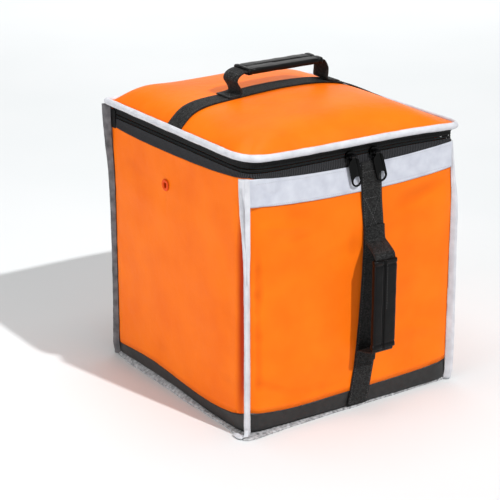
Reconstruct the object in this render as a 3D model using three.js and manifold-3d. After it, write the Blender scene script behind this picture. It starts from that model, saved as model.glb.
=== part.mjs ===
// Insulated delivery backpack: a padded cube of coated cloth with a domed lid that zips on three
// sides, webbing handles on the lid and on the front, and two shoulder straps on the back.
// Millimetres, +Z up, the front faces -Y, and the origin is on the floor under the middle.
import * as THREE from "three";
import { mergeVertices } from "three/addons/utils/BufferGeometryUtils.js";
import Module from "manifold-3d";

const wasm = await Module();
wasm.setup();

// Clearances
const gap = 0.3; // between pieces that meet edge to edge
const clothGap = 0.5; // under cloth that lies on a padded panel

// Body
const bodyWidth = 400; // between the outer faces of the side panels
const bodyDepth = 400; // between the outer faces of the front and back panels
const rimHeight = 438; // floor to the middle of the lid's binding
const wall = 8; // padded panels, base and lid
const cornerRadius = 20; // panels bend round to the corner seams
const stripHeight = 30; // seam between the panels and the black strip, above the floor
const footHeight = 8; // lower edge of the black strip, above the floor
const bulge = 3; // panels swell in the middle
const dentDepth = 6; // deepest hollow pressed into a panel
const bandHeight = 40; // light band along the top of the front panel
const clothThickness = 1; // the light band
const bandLift = 0.8; // light band's back above the panel's face

// Lid
const overhang = 7; // the lid's binding stands beyond the panels
const lidCornerLeft = 46; // front left corner of the lid, in plan
const lidCornerRight = 30; // front right corner of the lid, in plan
const lidCornerBack = 3; // both back corners of the lid, in plan
const lidBindingHeight = 10.5;
const lidBindingDepth = 7;
const crown = 43; // height of the dome above its edge
const lidEdge = 4.5; // thickness of the padded lid where it is sewn into the binding
const sagRight = 8; // the lid's edge sags beside the right wall
const liftLeft = 3.5; // and stands higher beside the left one
const levelShare = 0.29; // of the half-width, beyond which it begins to

// Zip
const upperTapeHeight = 12;
const coilHeight = 6;
const lowerTapeHeight = 16; // in the middle of a side
const hemRise = 10; // the panels' upper edge rises towards the front corners
const tapeThickness = 1.5;
const tapeFlat = 5; // stretch of each tape that stands upright beside the coil
const mouthInset = 3; // panels lean in towards the zip
const coilInset = 5; // the coil lies behind the panels' outer faces
const coilThickness = 3;

// Bindings
const finDepth = 12; // corner bindings stand out from their seams
const finWidth = 9;
const baseBindingDepth = 12;
const baseBindingReach = 5; // beyond the panels
const baseBindingEdge = 3; // thickness at its outer edge
const baseCorner = 8; // corner radius of the base, in plan

// Webbing, grips and their loops
const webbingWidth = 38;
const webbingThickness = 2;
const topGripLength = 140;
const frontGripLength = 144;
const gripWidth = 43;
const gripThickness = 10;
const gripGroove = 1.6; // slit where the wrapped grip closes
const handleFoot = 23; // length of webbing sewn down at each end of a handle
const topHandleSpan = 164; // between the feet of the handle on the lid
const topHandleRise = 79; // rim height to the middle of its grip
const topHandleOffset = -5; // middle of the top handle right of the bag's middle
const frontHandleReach = 44; // front panel's plane to the middle of the front grip
const frontHandleHeight = 186; // middle of the front grip above the floor
const frontHandleTop = 277; // where the front handle's upper leg leaves the strap
const frontHandleFoot = 99; // where its lower leg does
const frontGripOffset = 23; // middle of the front grip right of the bag's middle
const strapOffset = 32; // the front strap's largest offset right of the bag's middle

// Sliders and pullers
const sliderSpacing = 45;
const sliderLength = 18;
const sliderHeight = 14;
const sliderThickness = 4;
const barRadius = 1.4; // bar of the slider's bridge, which the puller turns on
const barClearance = 0.3;
const bridgeReach = 8; // coil's outer face to the bar's axis
const bridgeWidth = 8.6; // between the legs of the bridge
const knuckleWall = 1.2;
const knuckleLength = 7.4;
const pullerReach = 40.5; // bar's axis to the centre of the ring's hole
const pullerWidth = 19;
const pullerThickness = 2.2;
const pullerHoleRadius = 6;
const pullerNeck = 7; // half-way in from the knuckle to the full width

// Eyelet
const eyeletRadius = 10;
const eyeletHoleRadius = 4.6;
const eyeletBarrelWall = 0.9;
const eyeletFlange = 1.6;
const eyeletHeight = 345;
const eyeletOffset = 27; // behind the middle of the left side

// Shoulder straps
const shoulderWidth = 55;
const shoulderThickness = 10;
const shoulderBow = 46; // the straps stand off the back in the middle
const shoulderSpread = bodyWidth * 0.325; // the lower ends from the middle

// Heights and levels that follow from the sizes above
const rimFoot = rimHeight - lidBindingHeight / 2;
const rimTop = rimHeight + lidBindingHeight / 2;
const upperTapeTop = rimFoot - gap;
const coilTop = upperTapeTop - upperTapeHeight - gap;
const coilMiddle = coilTop - coilHeight / 2;
const coilFoot = coilTop - coilHeight;
const lowerTapeTop = coilFoot - gap;
const panelTop = lowerTapeTop - lowerTapeHeight - gap;
const cornerOpens = panelTop * 0.75; // above here the front corners open to the zip's curve
const lidSeat = rimHeight + lidEdge / 3;
const coilFace = coilInset - coilThickness / 2; // coil's outer face behind the panels' faces

const orange = "#fe7f24";
const black = "#3a3a3b";
const webbingBlack = "#2d2d2e";
const gripBlack = "#262527";
const zipBlack = "#2a292d";
const hardBlack = "#161617";
const bindingGrey = "#d6d7dd";
const bandGrey = "#cdcfd8";

// Each side seen from outside, with its turn from the front and the corners at its two ends.
const corners = ["frontLeft", "frontRight", "backRight", "backLeft"];
const sides = {
  front: { turn: 0, along: "x", out: "y", left: "frontLeft", right: "frontRight", swell: 0.8, rows: 13 },
  right: { turn: 90, along: "y", out: "x", left: "frontRight", right: "backRight", swell: 1, rows: 8 },
  back: { turn: 180, along: "x", out: "y", left: "backRight", right: "backLeft", swell: 0, rows: 8 },
  left: { turn: -90, along: "y", out: "x", left: "backLeft", right: "frontLeft", swell: 1, rows: 13 },
};

// Hems of each side from its left end (-1) to its right end (1): the upper edge's rise as a share
// of hemRise, the seam of the black strip of stripHeight, the strip's foot of footHeight, and how
// far the base's binding stands out as a share of baseBindingReach.
const hems = {
  front: [
    { at: -1, rise: 1.05, strip: 1.3, foot: 0.8, reach: 2.6 },
    { at: -0.6, rise: 0.35, strip: 0.98, foot: 0.7, reach: 1.1 },
    { at: -0.25, rise: 0.05, strip: 1.0, foot: 0.65, reach: 0.6 },
    { at: 0.1, rise: 0, strip: 1.02, foot: 0.6, reach: 0.1 },
    { at: 0.4, rise: 0.05, strip: 1.04, foot: 0.6, reach: 0 },
    { at: 0.8, rise: 0.55, strip: 1.14, foot: 0.65, reach: -0.5 },
    { at: 1, rise: 1.0, strip: 1.3, foot: 0.8, reach: -0.8 },
  ],
  right: [
    { at: -1, rise: 1.0, strip: 1.3, foot: 0.8, reach: -0.8 },
    { at: -0.5, rise: 0.25, strip: 1.0, foot: 0.9, reach: -0.2 },
    { at: 0.4, rise: 0, strip: 1.0, foot: 0.9, reach: 0 },
    { at: 1, rise: 0.45, strip: 1.1, foot: 1.0, reach: 0 },
  ],
  back: [
    { at: -1, rise: 0.45, strip: 1.1, foot: 1.0, reach: 0 },
    { at: 0, rise: 0, strip: 1.0, foot: 0.9, reach: 0.2 },
    { at: 1, rise: 0.45, strip: 0.8, foot: 1.0, reach: 0 },
  ],
  left: [
    { at: -1, rise: 0.45, strip: 0.8, foot: 1.0, reach: 0 },
    { at: -0.75, rise: 0.1, strip: 0.93, foot: 1.2, reach: 0.7 },
    { at: -0.4, rise: 0, strip: 1.03, foot: 1.3, reach: 1 },
    { at: 0, rise: 0.05, strip: 0.85, foot: 1.2, reach: 1 },
    { at: 0.45, rise: 0.3, strip: 0.7, foot: 0.5, reach: 1 },
    { at: 0.8, rise: 0.75, strip: 0.92, foot: 0.6, reach: 1.2 },
    { at: 1, rise: 1.05, strip: 1.3, foot: 0.8, reach: 2.6 },
  ],
};

// Hollows in the panels: centre and reach as shares of the half-width and of the panel's height,
// depth as a share of dentDepth.
const dents = {
  front: [
    { at: -0.45, height: 0.62, wide: 0.3, tall: 0.22, depth: 0.3 },
    { at: 0.62, height: 0.34, wide: 0.24, tall: 0.3, depth: 0.35 },
  ],
  right: [],
  back: [],
  left: [
    { at: 0.8, height: 0.45, wide: 0.09, tall: 0.42, depth: 1 },
    { at: -0.78, height: 0.3, wide: 0.12, tall: 0.3, depth: 0.4 },
  ],
};

// The dome across the lid from left to right, and along it from front to back, as shares of crown.
const domeAcross = [
  { at: -1, share: 0 },
  { at: -0.85, share: 0.62 },
  { at: -0.5, share: 0.86 },
  { at: 0, share: 1 },
  { at: 0.5, share: 0.84 },
  { at: 0.85, share: 0.27 },
  { at: 1, share: 0 },
];
const domeAlong = [
  { at: -1, share: 0 },
  { at: -0.85, share: 0.8 },
  { at: -0.5, share: 0.98 },
  { at: 0, share: 1 },
  { at: 0.5, share: 0.9 },
  { at: 0.85, share: 0.66 },
  { at: 1, share: 0 },
];

// Places where the lid swells above the dome, as shares of its half-width, half-depth and crown.
const puffs = [{ across: -0.85, along: 0.8, reach: 0.3, share: 0.2 }];

// Corner bindings from the floor up: height as a share of the whole, depth and width as shares of
// finDepth and finWidth, and lean, the shift to the right seen from outside, as a share of finWidth.
const fins = {
  frontLeft: [
    { at: 0, depth: 1, width: 1, lean: 0 },
    { at: 0.3, depth: 1, width: 0.95, lean: 0 },
    { at: 0.6, depth: 0.95, width: 0.95, lean: -0.05 },
    { at: 0.75, depth: 0.85, width: 1.15, lean: -0.15 },
    { at: 0.9, depth: 0.55, width: 1.5, lean: -0.35 },
    { at: 1, depth: 0.3, width: 1.6, lean: -0.35 },
  ],
  frontRight: [
    { at: 0, depth: 1.1, width: 1, lean: 0 },
    { at: 0.15, depth: 1.15, width: 0.9, lean: 0 },
    { at: 0.5, depth: 0.98, width: 0.9, lean: 0 },
    { at: 0.75, depth: 0.85, width: 0.9, lean: 0 },
    { at: 0.88, depth: 0.5, width: 0.9, lean: 0 },
    { at: 1, depth: 0.2, width: 0.9, lean: 0 },
  ],
  backRight: [
    { at: 0, depth: 0.9, width: 0.9, lean: 0 },
    { at: 0.5, depth: 0.9, width: 0.9, lean: 0 },
    { at: 1, depth: 1.2, width: 0.9, lean: 0 },
  ],
  backLeft: [
    { at: 0, depth: 1.05, width: 0.9, lean: 0 },
    { at: 0.2, depth: 0.9, width: 0.85, lean: 0 },
    { at: 0.5, depth: 0.88, width: 0.8, lean: 0 },
    { at: 0.8, depth: 1.05, width: 0.85, lean: 0 },
    { at: 1, depth: 1.35, width: 0.95, lean: 0 },
  ],
};
const finSection = [
  { deep: 0, side: -1 },
  { deep: 0.55, side: -1 },
  { deep: 0.86, side: -0.7 },
  { deep: 1, side: 0 },
  { deep: 0.86, side: 0.7 },
  { deep: 0.55, side: 1 },
  { deep: 0, side: 1 },
];

// The front strap's centre line from its foot to its top, as shares of strapOffset.
const strapLine = [
  { at: 0, shift: 0.27 },
  { at: 0.07, shift: 0.42 },
  { at: 0.2, shift: 0.66 },
  { at: 0.68, shift: 1 },
  { at: 0.85, shift: 0.88 },
  { at: 1, shift: 0.78 },
];

// Legs of the handles from the foot to the grip. rise is a share of the climb. along is the way
// from the foot towards the middle, on the lid as a share of the webbing's width and on the front as
// a share of the way to the grip's straight part.
const topLegs = [
  { left: 0, right: 0, rise: 0.06 },
  { left: -0.1, right: -0.01, rise: 0.35 },
  { left: -0.25, right: -0.01, rise: 0.62 },
  { left: -0.12, right: 0.1, rise: 0.87 },
];
const frontLeg = [
  { along: 0, rise: 0.06 },
  { along: 0.25, rise: 0.35 },
  { along: 0.45, rise: 0.7 },
  { along: 0.7, rise: 0.92 },
];

// Shoulder straps from the upper end down: height as a share of the rim's height, across of
// shoulderSpread, bow of shoulderBow, and the section's width and thickness as shares.
const shoulderLine = [
  { height: 0.905, across: 0.6, bow: 0, width: 1, thick: 0.5 },
  { height: 0.87, across: 0.6, bow: 0, width: 1, thick: 0.6 },
  { height: 0.8, across: 0.64, bow: 0.55, width: 1, thick: 1 },
  { height: 0.62, across: 0.75, bow: 1, width: 1, thick: 1 },
  { height: 0.42, across: 0.87, bow: 0.9, width: 0.95, thick: 1 },
  { height: 0.25, across: 0.96, bow: 0.4, width: 0.55, thick: 0.5 },
  { height: 0.16, across: 1, bow: 0, width: 0.46, thick: 0.35 },
  { height: 0.12, across: 1, bow: 0, width: 0.46, thick: 0.35 },
];

// Steps of the meshes
const columns = 14; // across each side and across the lid
const strapSteps = 28;
const handleSteps = 45;
const shoulderSteps = 30;
const finSteps = 15;
const roundSteps = 20;

const mix = THREE.MathUtils.lerp;
const smooth = (value) => THREE.MathUtils.smoothstep(value, 0, 1);
const bell = (distance, reach) => Math.exp(-((distance / reach) ** 2));

// The columns of a side lie closer together towards its two ends, where it bends, and the rows of
// a panel towards its top.
const crowd = (value) => Math.sin((value * Math.PI) / 2);
const climb = (share) => share ** 0.6;

// A table's column at a place between its rows, on a smooth curve through them.
function follow(table, column, at) {
  const last = table.length - 1;
  let row = 0;
  while (row < last - 1 && at > table[row + 1].at) row += 1;
  const secant = (a, b) => (table[b][column] - table[a][column]) / (table[b].at - table[a].at);
  const slope = (index) => {
    if (index === 0) return 1.5 * secant(0, 1) - 0.5 * secant(0, Math.min(2, last));
    if (index === last) return 1.5 * secant(last - 1, last) - 0.5 * secant(Math.max(last - 2, 0), last);
    return secant(index - 1, index + 1);
  };
  const from = table[row];
  const to = table[row + 1];
  const span = to.at - from.at;
  const t = THREE.MathUtils.clamp((at - from.at) / span, 0, 1);
  const start = (1 + 2 * t) * (1 - t) ** 2 * from[column] + t * (1 - t) ** 2 * span * slope(row);
  return start + t * t * (3 - 2 * t) * to[column] + t * t * (t - 1) * span * slope(row + 1);
}

// Solids

// Turns every face outwards.
function faceOut(geometry) {
  const at = geometry.getAttribute("position");
  const index = geometry.getIndex().array;
  const [a, b, c] = [new THREE.Vector3(), new THREE.Vector3(), new THREE.Vector3()];
  let volume = 0;
  for (let i = 0; i < index.length; i += 3) {
    a.fromBufferAttribute(at, index[i]);
    b.fromBufferAttribute(at, index[i + 1]);
    c.fromBufferAttribute(at, index[i + 2]);
    volume += a.dot(b.cross(c));
  }
  if (volume < 0) {
    for (let i = 0; i < index.length; i += 3) [index[i], index[i + 1]] = [index[i + 1], index[i]];
  }
  geometry.computeVertexNormals();
  return geometry;
}

function closed(geometry) {
  const bare = geometry.clone();
  bare.deleteAttribute("normal");
  bare.deleteAttribute("uv");
  bare.clearGroups();
  return mergeVertices(bare, 1e-4);
}

// Moves every corner of a closed geometry.
function reshape(geometry, move) {
  const result = closed(geometry);
  const at = result.getAttribute("position");
  const point = new THREE.Vector3();
  for (let i = 0; i < at.count; i += 1) {
    point.fromBufferAttribute(at, i);
    const moved = move(point.x, point.y, point.z);
    at.setXYZ(i, moved.x, moved.y, moved.z);
  }
  return faceOut(result);
}

// A skin over rings of points, joined end to end or closed by a cap at each end.
function loft(rings, endless = false) {
  const size = rings[0].length;
  const points = rings.flat();
  const index = [];
  const spans = endless ? rings.length : rings.length - 1;
  for (let i = 0; i < spans; i += 1) {
    const here = i * size;
    const next = ((i + 1) % rings.length) * size;
    for (let j = 0; j < size; j += 1) {
      const k = (j + 1) % size;
      index.push(here + j, next + j, next + k, here + j, next + k, here + k);
    }
  }
  if (!endless) {
    [0, rings.length - 1].forEach((end) => {
      const centre = points.length;
      const middle = new THREE.Vector3();
      rings[end].forEach((point) => middle.addScaledVector(point, 1 / size));
      points.push(middle);
      for (let j = 0; j < size; j += 1) {
        const pair = [end * size + j, end * size + ((j + 1) % size)];
        index.push(centre, ...(end === 0 ? pair : pair.reverse()));
      }
    });
  }
  const geometry = new THREE.BufferGeometry().setFromPoints(points);
  geometry.setIndex(index);
  return faceOut(geometry);
}

function solidOf(geometry) {
  const merged = closed(geometry);
  return new wasm.Manifold(
    new wasm.Mesh({
      numProp: 3,
      vertProperties: new Float32Array(merged.getAttribute("position").array),
      triVerts: new Uint32Array(merged.getIndex().array),
    }),
  );
}

function geometryOf(solid) {
  const mesh = solid.getMesh();
  const geometry = new THREE.BufferGeometry();
  geometry.setAttribute("position", new THREE.Float32BufferAttribute(mesh.vertProperties, 3));
  geometry.setIndex(Array.from(mesh.triVerts));
  return faceOut(geometry);
}

const join = (...pieces) => geometryOf(pieces.map(solidOf).reduce((all, next) => all.add(next)));
const cut = (piece, tool) => geometryOf(solidOf(piece).subtract(solidOf(tool)));

// Plan outlines

// Outline of the lid, and of the base, from above: half sizes and the radius of each corner.
const lidPlan = {
  half: { x: bodyWidth / 2 + overhang, y: bodyDepth / 2 + overhang },
  radius: {
    frontLeft: lidCornerLeft,
    frontRight: lidCornerRight,
    backRight: lidCornerBack,
    backLeft: lidCornerBack,
  },
};
const basePlan = {
  half: { x: bodyWidth / 2, y: bodyDepth / 2 },
  radius: Object.fromEntries(corners.map((corner) => [corner, baseCorner])),
};
const sharpest = 0.5;

// Outline of the body at a height: square below, and parallel to the lid's at the zip.
function planAt(z) {
  const open = smooth((z - cornerOpens) / (panelTop - cornerOpens));
  const mouthRadius = (corner) => Math.max(lidPlan.radius[corner] - overhang - mouthInset, sharpest);
  return {
    half: { x: bodyWidth / 2 - open * mouthInset, y: bodyDepth / 2 - open * mouthInset },
    radius: Object.fromEntries(
      corners.map((corner) => [corner, mix(cornerRadius, mouthRadius(corner), open)]),
    ),
  };
}

// A point of an outline moved in by inset. at runs from a side's left corner (-1) to its right (1).
function edgePoint(plan, side, at, inset = 0) {
  const along = plan.half[side.along] - inset;
  const out = plan.half[side.out] - inset;
  const radius = Math.max(plan.radius[at < 0 ? side.left : side.right] - inset, sharpest);
  const reach = Math.abs(at) * along;
  const straight = along - radius;
  const bend = (Math.max(reach - straight, 0) / radius) * (Math.PI / 4);
  return {
    across: Math.sign(at) * (bend > 0 ? straight + radius * Math.sin(bend) : reach),
    out: out - radius + radius * Math.cos(bend),
  };
}

// A point of a side, with the side turned to its place.
function placed(side, across, out, z) {
  const turn = THREE.MathUtils.degToRad(side.turn);
  return new THREE.Vector3(across, -out, z).applyAxisAngle(new THREE.Vector3(0, 0, 1), turn);
}

const upperHem = (name, at) => {
  if (name === "back") return rimFoot - gap;
  return panelTop + hemRise * follow(hems[name], "rise", at);
};
const stripSeam = (name, at) => stripHeight * follow(hems[name], "strip", at);
const stripFoot = (name, at) => footHeight * follow(hems[name], "foot", at);

// How far a panel stands out of its flat face: its swell less its hollows.
function panelSwell(name, at, z) {
  const low = stripSeam(name, at);
  const share = THREE.MathUtils.clamp((z - low) / (panelTop - low), 0, 1);
  const held = 1 - at ** 8; // the corner seams hold the ends
  const swell = bulge * sides[name].swell * (1 - at * at) * Math.sin(share * Math.PI) ** 1.5;
  const hollow = dents[name].reduce(
    (sum, dent) =>
      sum + dentDepth * dent.depth * bell(at - dent.at, dent.wide) * bell(share - dent.height, dent.tall),
    0,
  );
  return swell - hollow * held * Math.sin(share * Math.PI) ** 0.5;
}

// A panel's outer face at a place: how far it lies from the bag's middle, moved out by lift.
function facePoint(name, at, z, lift = 0) {
  return edgePoint(planAt(z), sides[name], at, -panelSwell(name, at, z) - lift);
}

const material = (color, roughness, metalness = 0) =>
  new THREE.MeshStandardMaterial({ color, roughness, metalness });

function piece(name, geometry, color, roughness = 0.6, metalness = 0) {
  const mesh = new THREE.Mesh(geometry, material(color, roughness, metalness));
  mesh.name = name;
  return mesh;
}

// Walls

// A padded sheet over one side, between two heights and two insets from the body's outline.
function sideSheet(name, rows, low, high, inner, outer, ends = [-1, 1]) {
  const side = sides[name];
  const mitre = gap / Math.SQRT2 / side.half;
  return reshape(new THREE.BoxGeometry(2, 1, 1, columns, rows, 1), (x, y, z) => {
    const at = mix(ends[0], ends[1], (crowd(x) + 1) / 2);
    const height = mix(low(at), high(at), climb(y + 0.5));
    const lift = z > 0 ? outer(at, height) : inner(at, height);
    const point = edgePoint(planAt(height), side, at, -lift);
    return placed(side, point.across * (1 - mitre), point.out, height);
  });
}

Object.values(sides).forEach((side) => {
  side.half = basePlan.half[side.along];
});

function panel(name) {
  return sideSheet(
    name,
    sides[name].rows,
    (at) => stripSeam(name, at) + gap,
    (at) => upperHem(name, at),
    () => -wall,
    (at, z) => panelSwell(name, at, z),
  );
}

function strip(name) {
  return sideSheet(
    name,
    1,
    (at) => stripFoot(name, at),
    (at) => stripSeam(name, at),
    () => -wall,
    () => 0,
  );
}

// The light band ends beside the corner bindings.
function reflectiveBand() {
  const widest = Math.max(...fins.frontLeft.map((row) => row.width + Math.abs(row.lean) * 2));
  const end = 1 - (finWidth * widest * 0.5 + clothGap) / sides.front.half;
  const under = (at, z) => panelSwell("front", at, z) + bandLift;
  return sideSheet(
    "front",
    3,
    (at) => upperHem("front", at) - bandHeight,
    (at) => upperHem("front", at),
    under,
    (at, z) => under(at, z) + clothThickness,
    [-end, end],
  );
}

function eyelet() {
  const under = [-1, 0, 1].map((end) => eyeletHeight + end * eyeletRadius);
  const face = Math.max(
    ...under.map((z) => facePoint("left", -eyeletOffset / sides.left.half, z).out),
  );
  const barrel = eyeletHoleRadius + eyeletBarrelWall;
  const profile = [
    [eyeletHoleRadius, -wall],
    [barrel, -wall],
    [barrel, clothGap],
    [eyeletRadius, clothGap],
    [eyeletRadius - eyeletFlange * 0.4, clothGap + eyeletFlange * 0.8],
    [mix(barrel, eyeletRadius, 0.4), clothGap + eyeletFlange],
    [eyeletHoleRadius, clothGap + eyeletFlange * 0.5],
    [eyeletHoleRadius, -wall],
  ].map(([radius, out]) => new THREE.Vector2(radius, out));
  const ring = new THREE.LatheGeometry(profile, roundSteps);
  return reshape(ring, (x, y, z) =>
    placed(sides.left, x - eyeletOffset, face + y, eyeletHeight + z),
  );
}

// The left panel has a hole for the eyelet's barrel.
function leftPanel() {
  const radius = eyeletHoleRadius + eyeletBarrelWall + gap;
  const drill = new THREE.CylinderGeometry(radius, radius, wall * 4, roundSteps);
  const hole = reshape(drill, (x, y, z) =>
    placed(sides.left, x - eyeletOffset, sides.left.outHalf + y, eyeletHeight + z),
  );
  return cut(panel("left"), hole);
}

sides.left.outHalf = basePlan.half.x;

// Rings round the bag

// The places of the rings' sections: every column of the named sides, each corner once.
function stations(names, from = -1, to = 1) {
  const list = [];
  names.forEach((name, turn) => {
    for (let i = turn === 0 ? 0 : 1; i <= columns; i += 1) {
      const at = crowd((2 * i) / columns - 1);
      list.push({ name, at: THREE.MathUtils.clamp(at, turn === 0 ? from : -1, name === "right" ? to : 1) });
    }
  });
  return list;
}

// A band with the same section at every place, given as insets and heights.
function ring(plan, places, section, endless) {
  const rings = places.map(({ name, at }) =>
    section(name, at).map(([inset, z]) => {
      const point = edgePoint(plan, sides[name], at, inset);
      return placed(sides[name], point.across, point.out, z);
    }),
  );
  return loft(rings, endless);
}

const zipSides = ["left", "front", "right"];
const zipEnd = 1 - (coilInset + tapeThickness) / sides.left.half;
const zipPlaces = stations(zipSides, -zipEnd, zipEnd);
const allPlaces = stations([...zipSides, "back"]).slice(1);
const tapeInset = overhang + coilInset;

function basePanel() {
  const level = (z) =>
    allPlaces.map(({ name, at }) => {
      const point = edgePoint(planAt(z), sides[name], at, wall + gap);
      return placed(sides[name], point.across, point.out, z);
    });
  return loft([level(0), level(wall)]);
}

function tape(foot, bendLow, bendHigh, top, footInset, topInset) {
  const half = tapeThickness / 2;
  return (name, at) => {
    const low = foot(name, at);
    const outer = [
      [footInset - half, low],
      [tapeInset - half, mix(low, top, bendLow)],
      [tapeInset - half, mix(low, top, bendHigh)],
      [topInset - half, top],
    ];
    const inner = outer.map(([inset, z]) => [inset + tapeThickness, z]).reverse();
    return [...outer, ...inner];
  };
}

function lowerTape() {
  const low = (name, at) => upperHem(name, at) + gap;
  const bend = 1 - tapeFlat / lowerTapeHeight;
  const section = tape(low, bend * 0.8, bend, lowerTapeTop, overhang + mouthInset, tapeInset);
  return ring(lidPlan, zipPlaces, section, false);
}

function upperTape() {
  const low = () => coilTop + gap;
  const bend = tapeFlat / upperTapeHeight;
  const section = tape(low, bend, bend * 1.4, upperTapeTop, tapeInset, overhang);
  return ring(lidPlan, zipPlaces, section, false);
}

function zipCoil() {
  const half = coilThickness / 2;
  const shoulder = coilHeight * 0.25;
  const section = () => [
    [tapeInset - half, coilFoot + shoulder],
    [tapeInset - half, coilTop - shoulder],
    [tapeInset, coilTop],
    [tapeInset + half, coilTop - shoulder],
    [tapeInset + half, coilFoot + shoulder],
    [tapeInset, coilFoot],
  ];
  return ring(lidPlan, zipPlaces, section, false);
}

function lidBinding() {
  const soft = lidBindingHeight * 0.28;
  const section = () => [
    [lidBindingDepth, rimFoot + soft * 0.5],
    [lidBindingDepth * 0.5, rimFoot],
    [soft * 0.3, rimFoot + soft * 0.6],
    [0, rimHeight],
    [soft * 0.4, rimTop - soft],
    [lidBindingDepth * 0.55, rimTop],
    [lidBindingDepth, rimTop - soft * 0.6],
  ];
  return ring(lidPlan, allPlaces, section, true);
}

function baseBinding() {
  const inner = baseBindingDepth - baseBindingReach;
  const section = (name, at) => {
    const outer = -baseBindingReach * follow(hems[name], "reach", at);
    return [
      [inner, 0],
      [outer + 1, 0],
      [outer, baseBindingEdge * 0.4],
      [outer + 1, baseBindingEdge],
      [inner, stripFoot(name, at) - gap],
    ];
  };
  return ring(basePlan, allPlaces, section, true);
}

// Corner bindings: fins that stand out along the corner's diagonal.
function cornerBinding(corner) {
  const [name] = Object.entries(sides).find(([, side]) => side.right === corner);
  const side = sides[name];
  const lean = THREE.MathUtils.degToRad(side.turn + 45);
  const outward = new THREE.Vector3(Math.sin(lean), -Math.cos(lean), 0);
  const sideways = new THREE.Vector3(Math.cos(lean), Math.sin(lean), 0);
  const low = footHeight + gap;
  const hemTop = upperHem(name, 1) - finWidth * 0.15;
  const high = corner.startsWith("back") ? rimFoot - gap : hemTop;
  const rings = [];
  for (let step = 0; step <= finSteps; step += 1) {
    const at = step / finSteps;
    const z = mix(low, high, at);
    const seam = edgePoint(planAt(z), side, 1);
    const root = placed(side, seam.across, seam.out, z).addScaledVector(outward, clothGap);
    const depth = finDepth * follow(fins[corner], "depth", at);
    const half = (finWidth / 2) * follow(fins[corner], "width", at);
    const shift = finWidth * follow(fins[corner], "lean", at);
    rings.push(
      finSection.map((point) =>
        root
          .clone()
          .addScaledVector(outward, depth * point.deep)
          .addScaledVector(sideways, half * point.side + shift),
      ),
    );
  }
  return loft(rings);
}

// Lid

const lidHalf = {
  x: lidPlan.half.x - lidBindingDepth - gap,
  y: lidPlan.half.y - lidBindingDepth - gap,
};

// Height of the lid's upper face. across and along are shares of its half-width and half-depth.
function domeHeight(across, along) {
  const dome = follow(domeAcross, "share", across) * follow(domeAlong, "share", along);
  const held = (1 - across ** 12) * (1 - along ** 12); // the binding holds the edge
  const swell = puffs.reduce(
    (sum, puff) =>
      sum + puff.share * bell(across - puff.across, puff.reach) * bell(along - puff.along, puff.reach),
    0,
  );
  return lidSeat + crown * (dome + held * swell);
}

function lidPanel() {
  return reshape(new THREE.BoxGeometry(2, 2, 1, columns, columns, 1), (x, y, z) => {
    const far = Math.max(Math.abs(x), Math.abs(y));
    const endways = Math.abs(y) >= Math.abs(x);
    const name = endways ? (y < 0 ? "front" : "back") : x > 0 ? "right" : "left";
    const sign = name === "front" || name === "right" ? 1 : -1;
    const at = far > 0 ? crowd((sign * (endways ? x : y)) / far) : 0;
    const edge = edgePoint(lidPlan, sides[name], at, lidBindingDepth + gap);
    const reach = crowd(far);
    const point = placed(sides[name], edge.across, edge.out, 0).multiplyScalar(reach);
    const square = placed(sides[name], at, 1, 0).multiplyScalar(reach);
    const top = domeHeight(square.x, square.y);
    const thickness = mix(lidEdge, wall, smooth((1 - reach) * 6));
    return point.setZ(z > 0 ? top : top - thickness);
  });
}

// Webbing

// A flat strap along a curve. wide is the direction of its width, and size(share) gives the width
// and thickness as shares.
function ribbon(curve, steps, wide, width, thickness, size = () => [1, 1]) {
  return reshape(new THREE.BoxGeometry(1, 1, 1, steps, 1, 1), (x, y, z) => {
    const share = x + 0.5;
    const point = curve.getPoint(share);
    const tangent = curve.getTangent(share);
    const normal = new THREE.Vector3().crossVectors(tangent, wide).normalize();
    const [wideShare, thickShare] = size(share);
    return point
      .addScaledVector(wide, y * width * wideShare)
      .addScaledVector(normal, z * thickness * thickShare);
  });
}

const curveThrough = (points) => new THREE.CatmullRomCurve3(points, false, "centripetal");

function lidStrap() {
  return reshape(new THREE.BoxGeometry(2, 1, 1, strapSteps, 2, 1), (x, y, z) => {
    const across = crowd(x);
    const along = y * webbingWidth;
    const height = domeHeight(across, along / lidHalf.y) + clothGap + (z + 0.5) * webbingThickness;
    return new THREE.Vector3(across * lidHalf.x, along, height);
  });
}

const strapFoot = stripFoot("front", 0) + gap;
const strapTop = panelTop + hemRise * 0.6;
const strapShift = (z) => strapOffset * follow(strapLine, "shift", (z - strapFoot) / (strapTop - strapFoot));

// The front panel's face, or the light band's, under the front strap.
function strapUnderside(z) {
  const at = strapShift(z) / sides.front.half;
  const overBand = smooth((z - (panelTop - bandHeight - clothThickness * 16)) / (clothThickness * 14));
  return facePoint("front", at, z).out + clothGap + overBand * (bandLift + clothThickness);
}

function frontStrap() {
  return reshape(new THREE.BoxGeometry(1, 2, 1, 2, strapSteps, 1), (x, y, z) => {
    const height = mix(strapFoot, strapTop, (y + 1) / 2);
    const out = strapUnderside(height) + (z + 0.5) * webbingThickness;
    return new THREE.Vector3(strapShift(height) + x * webbingWidth, -out, height);
  });
}

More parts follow.
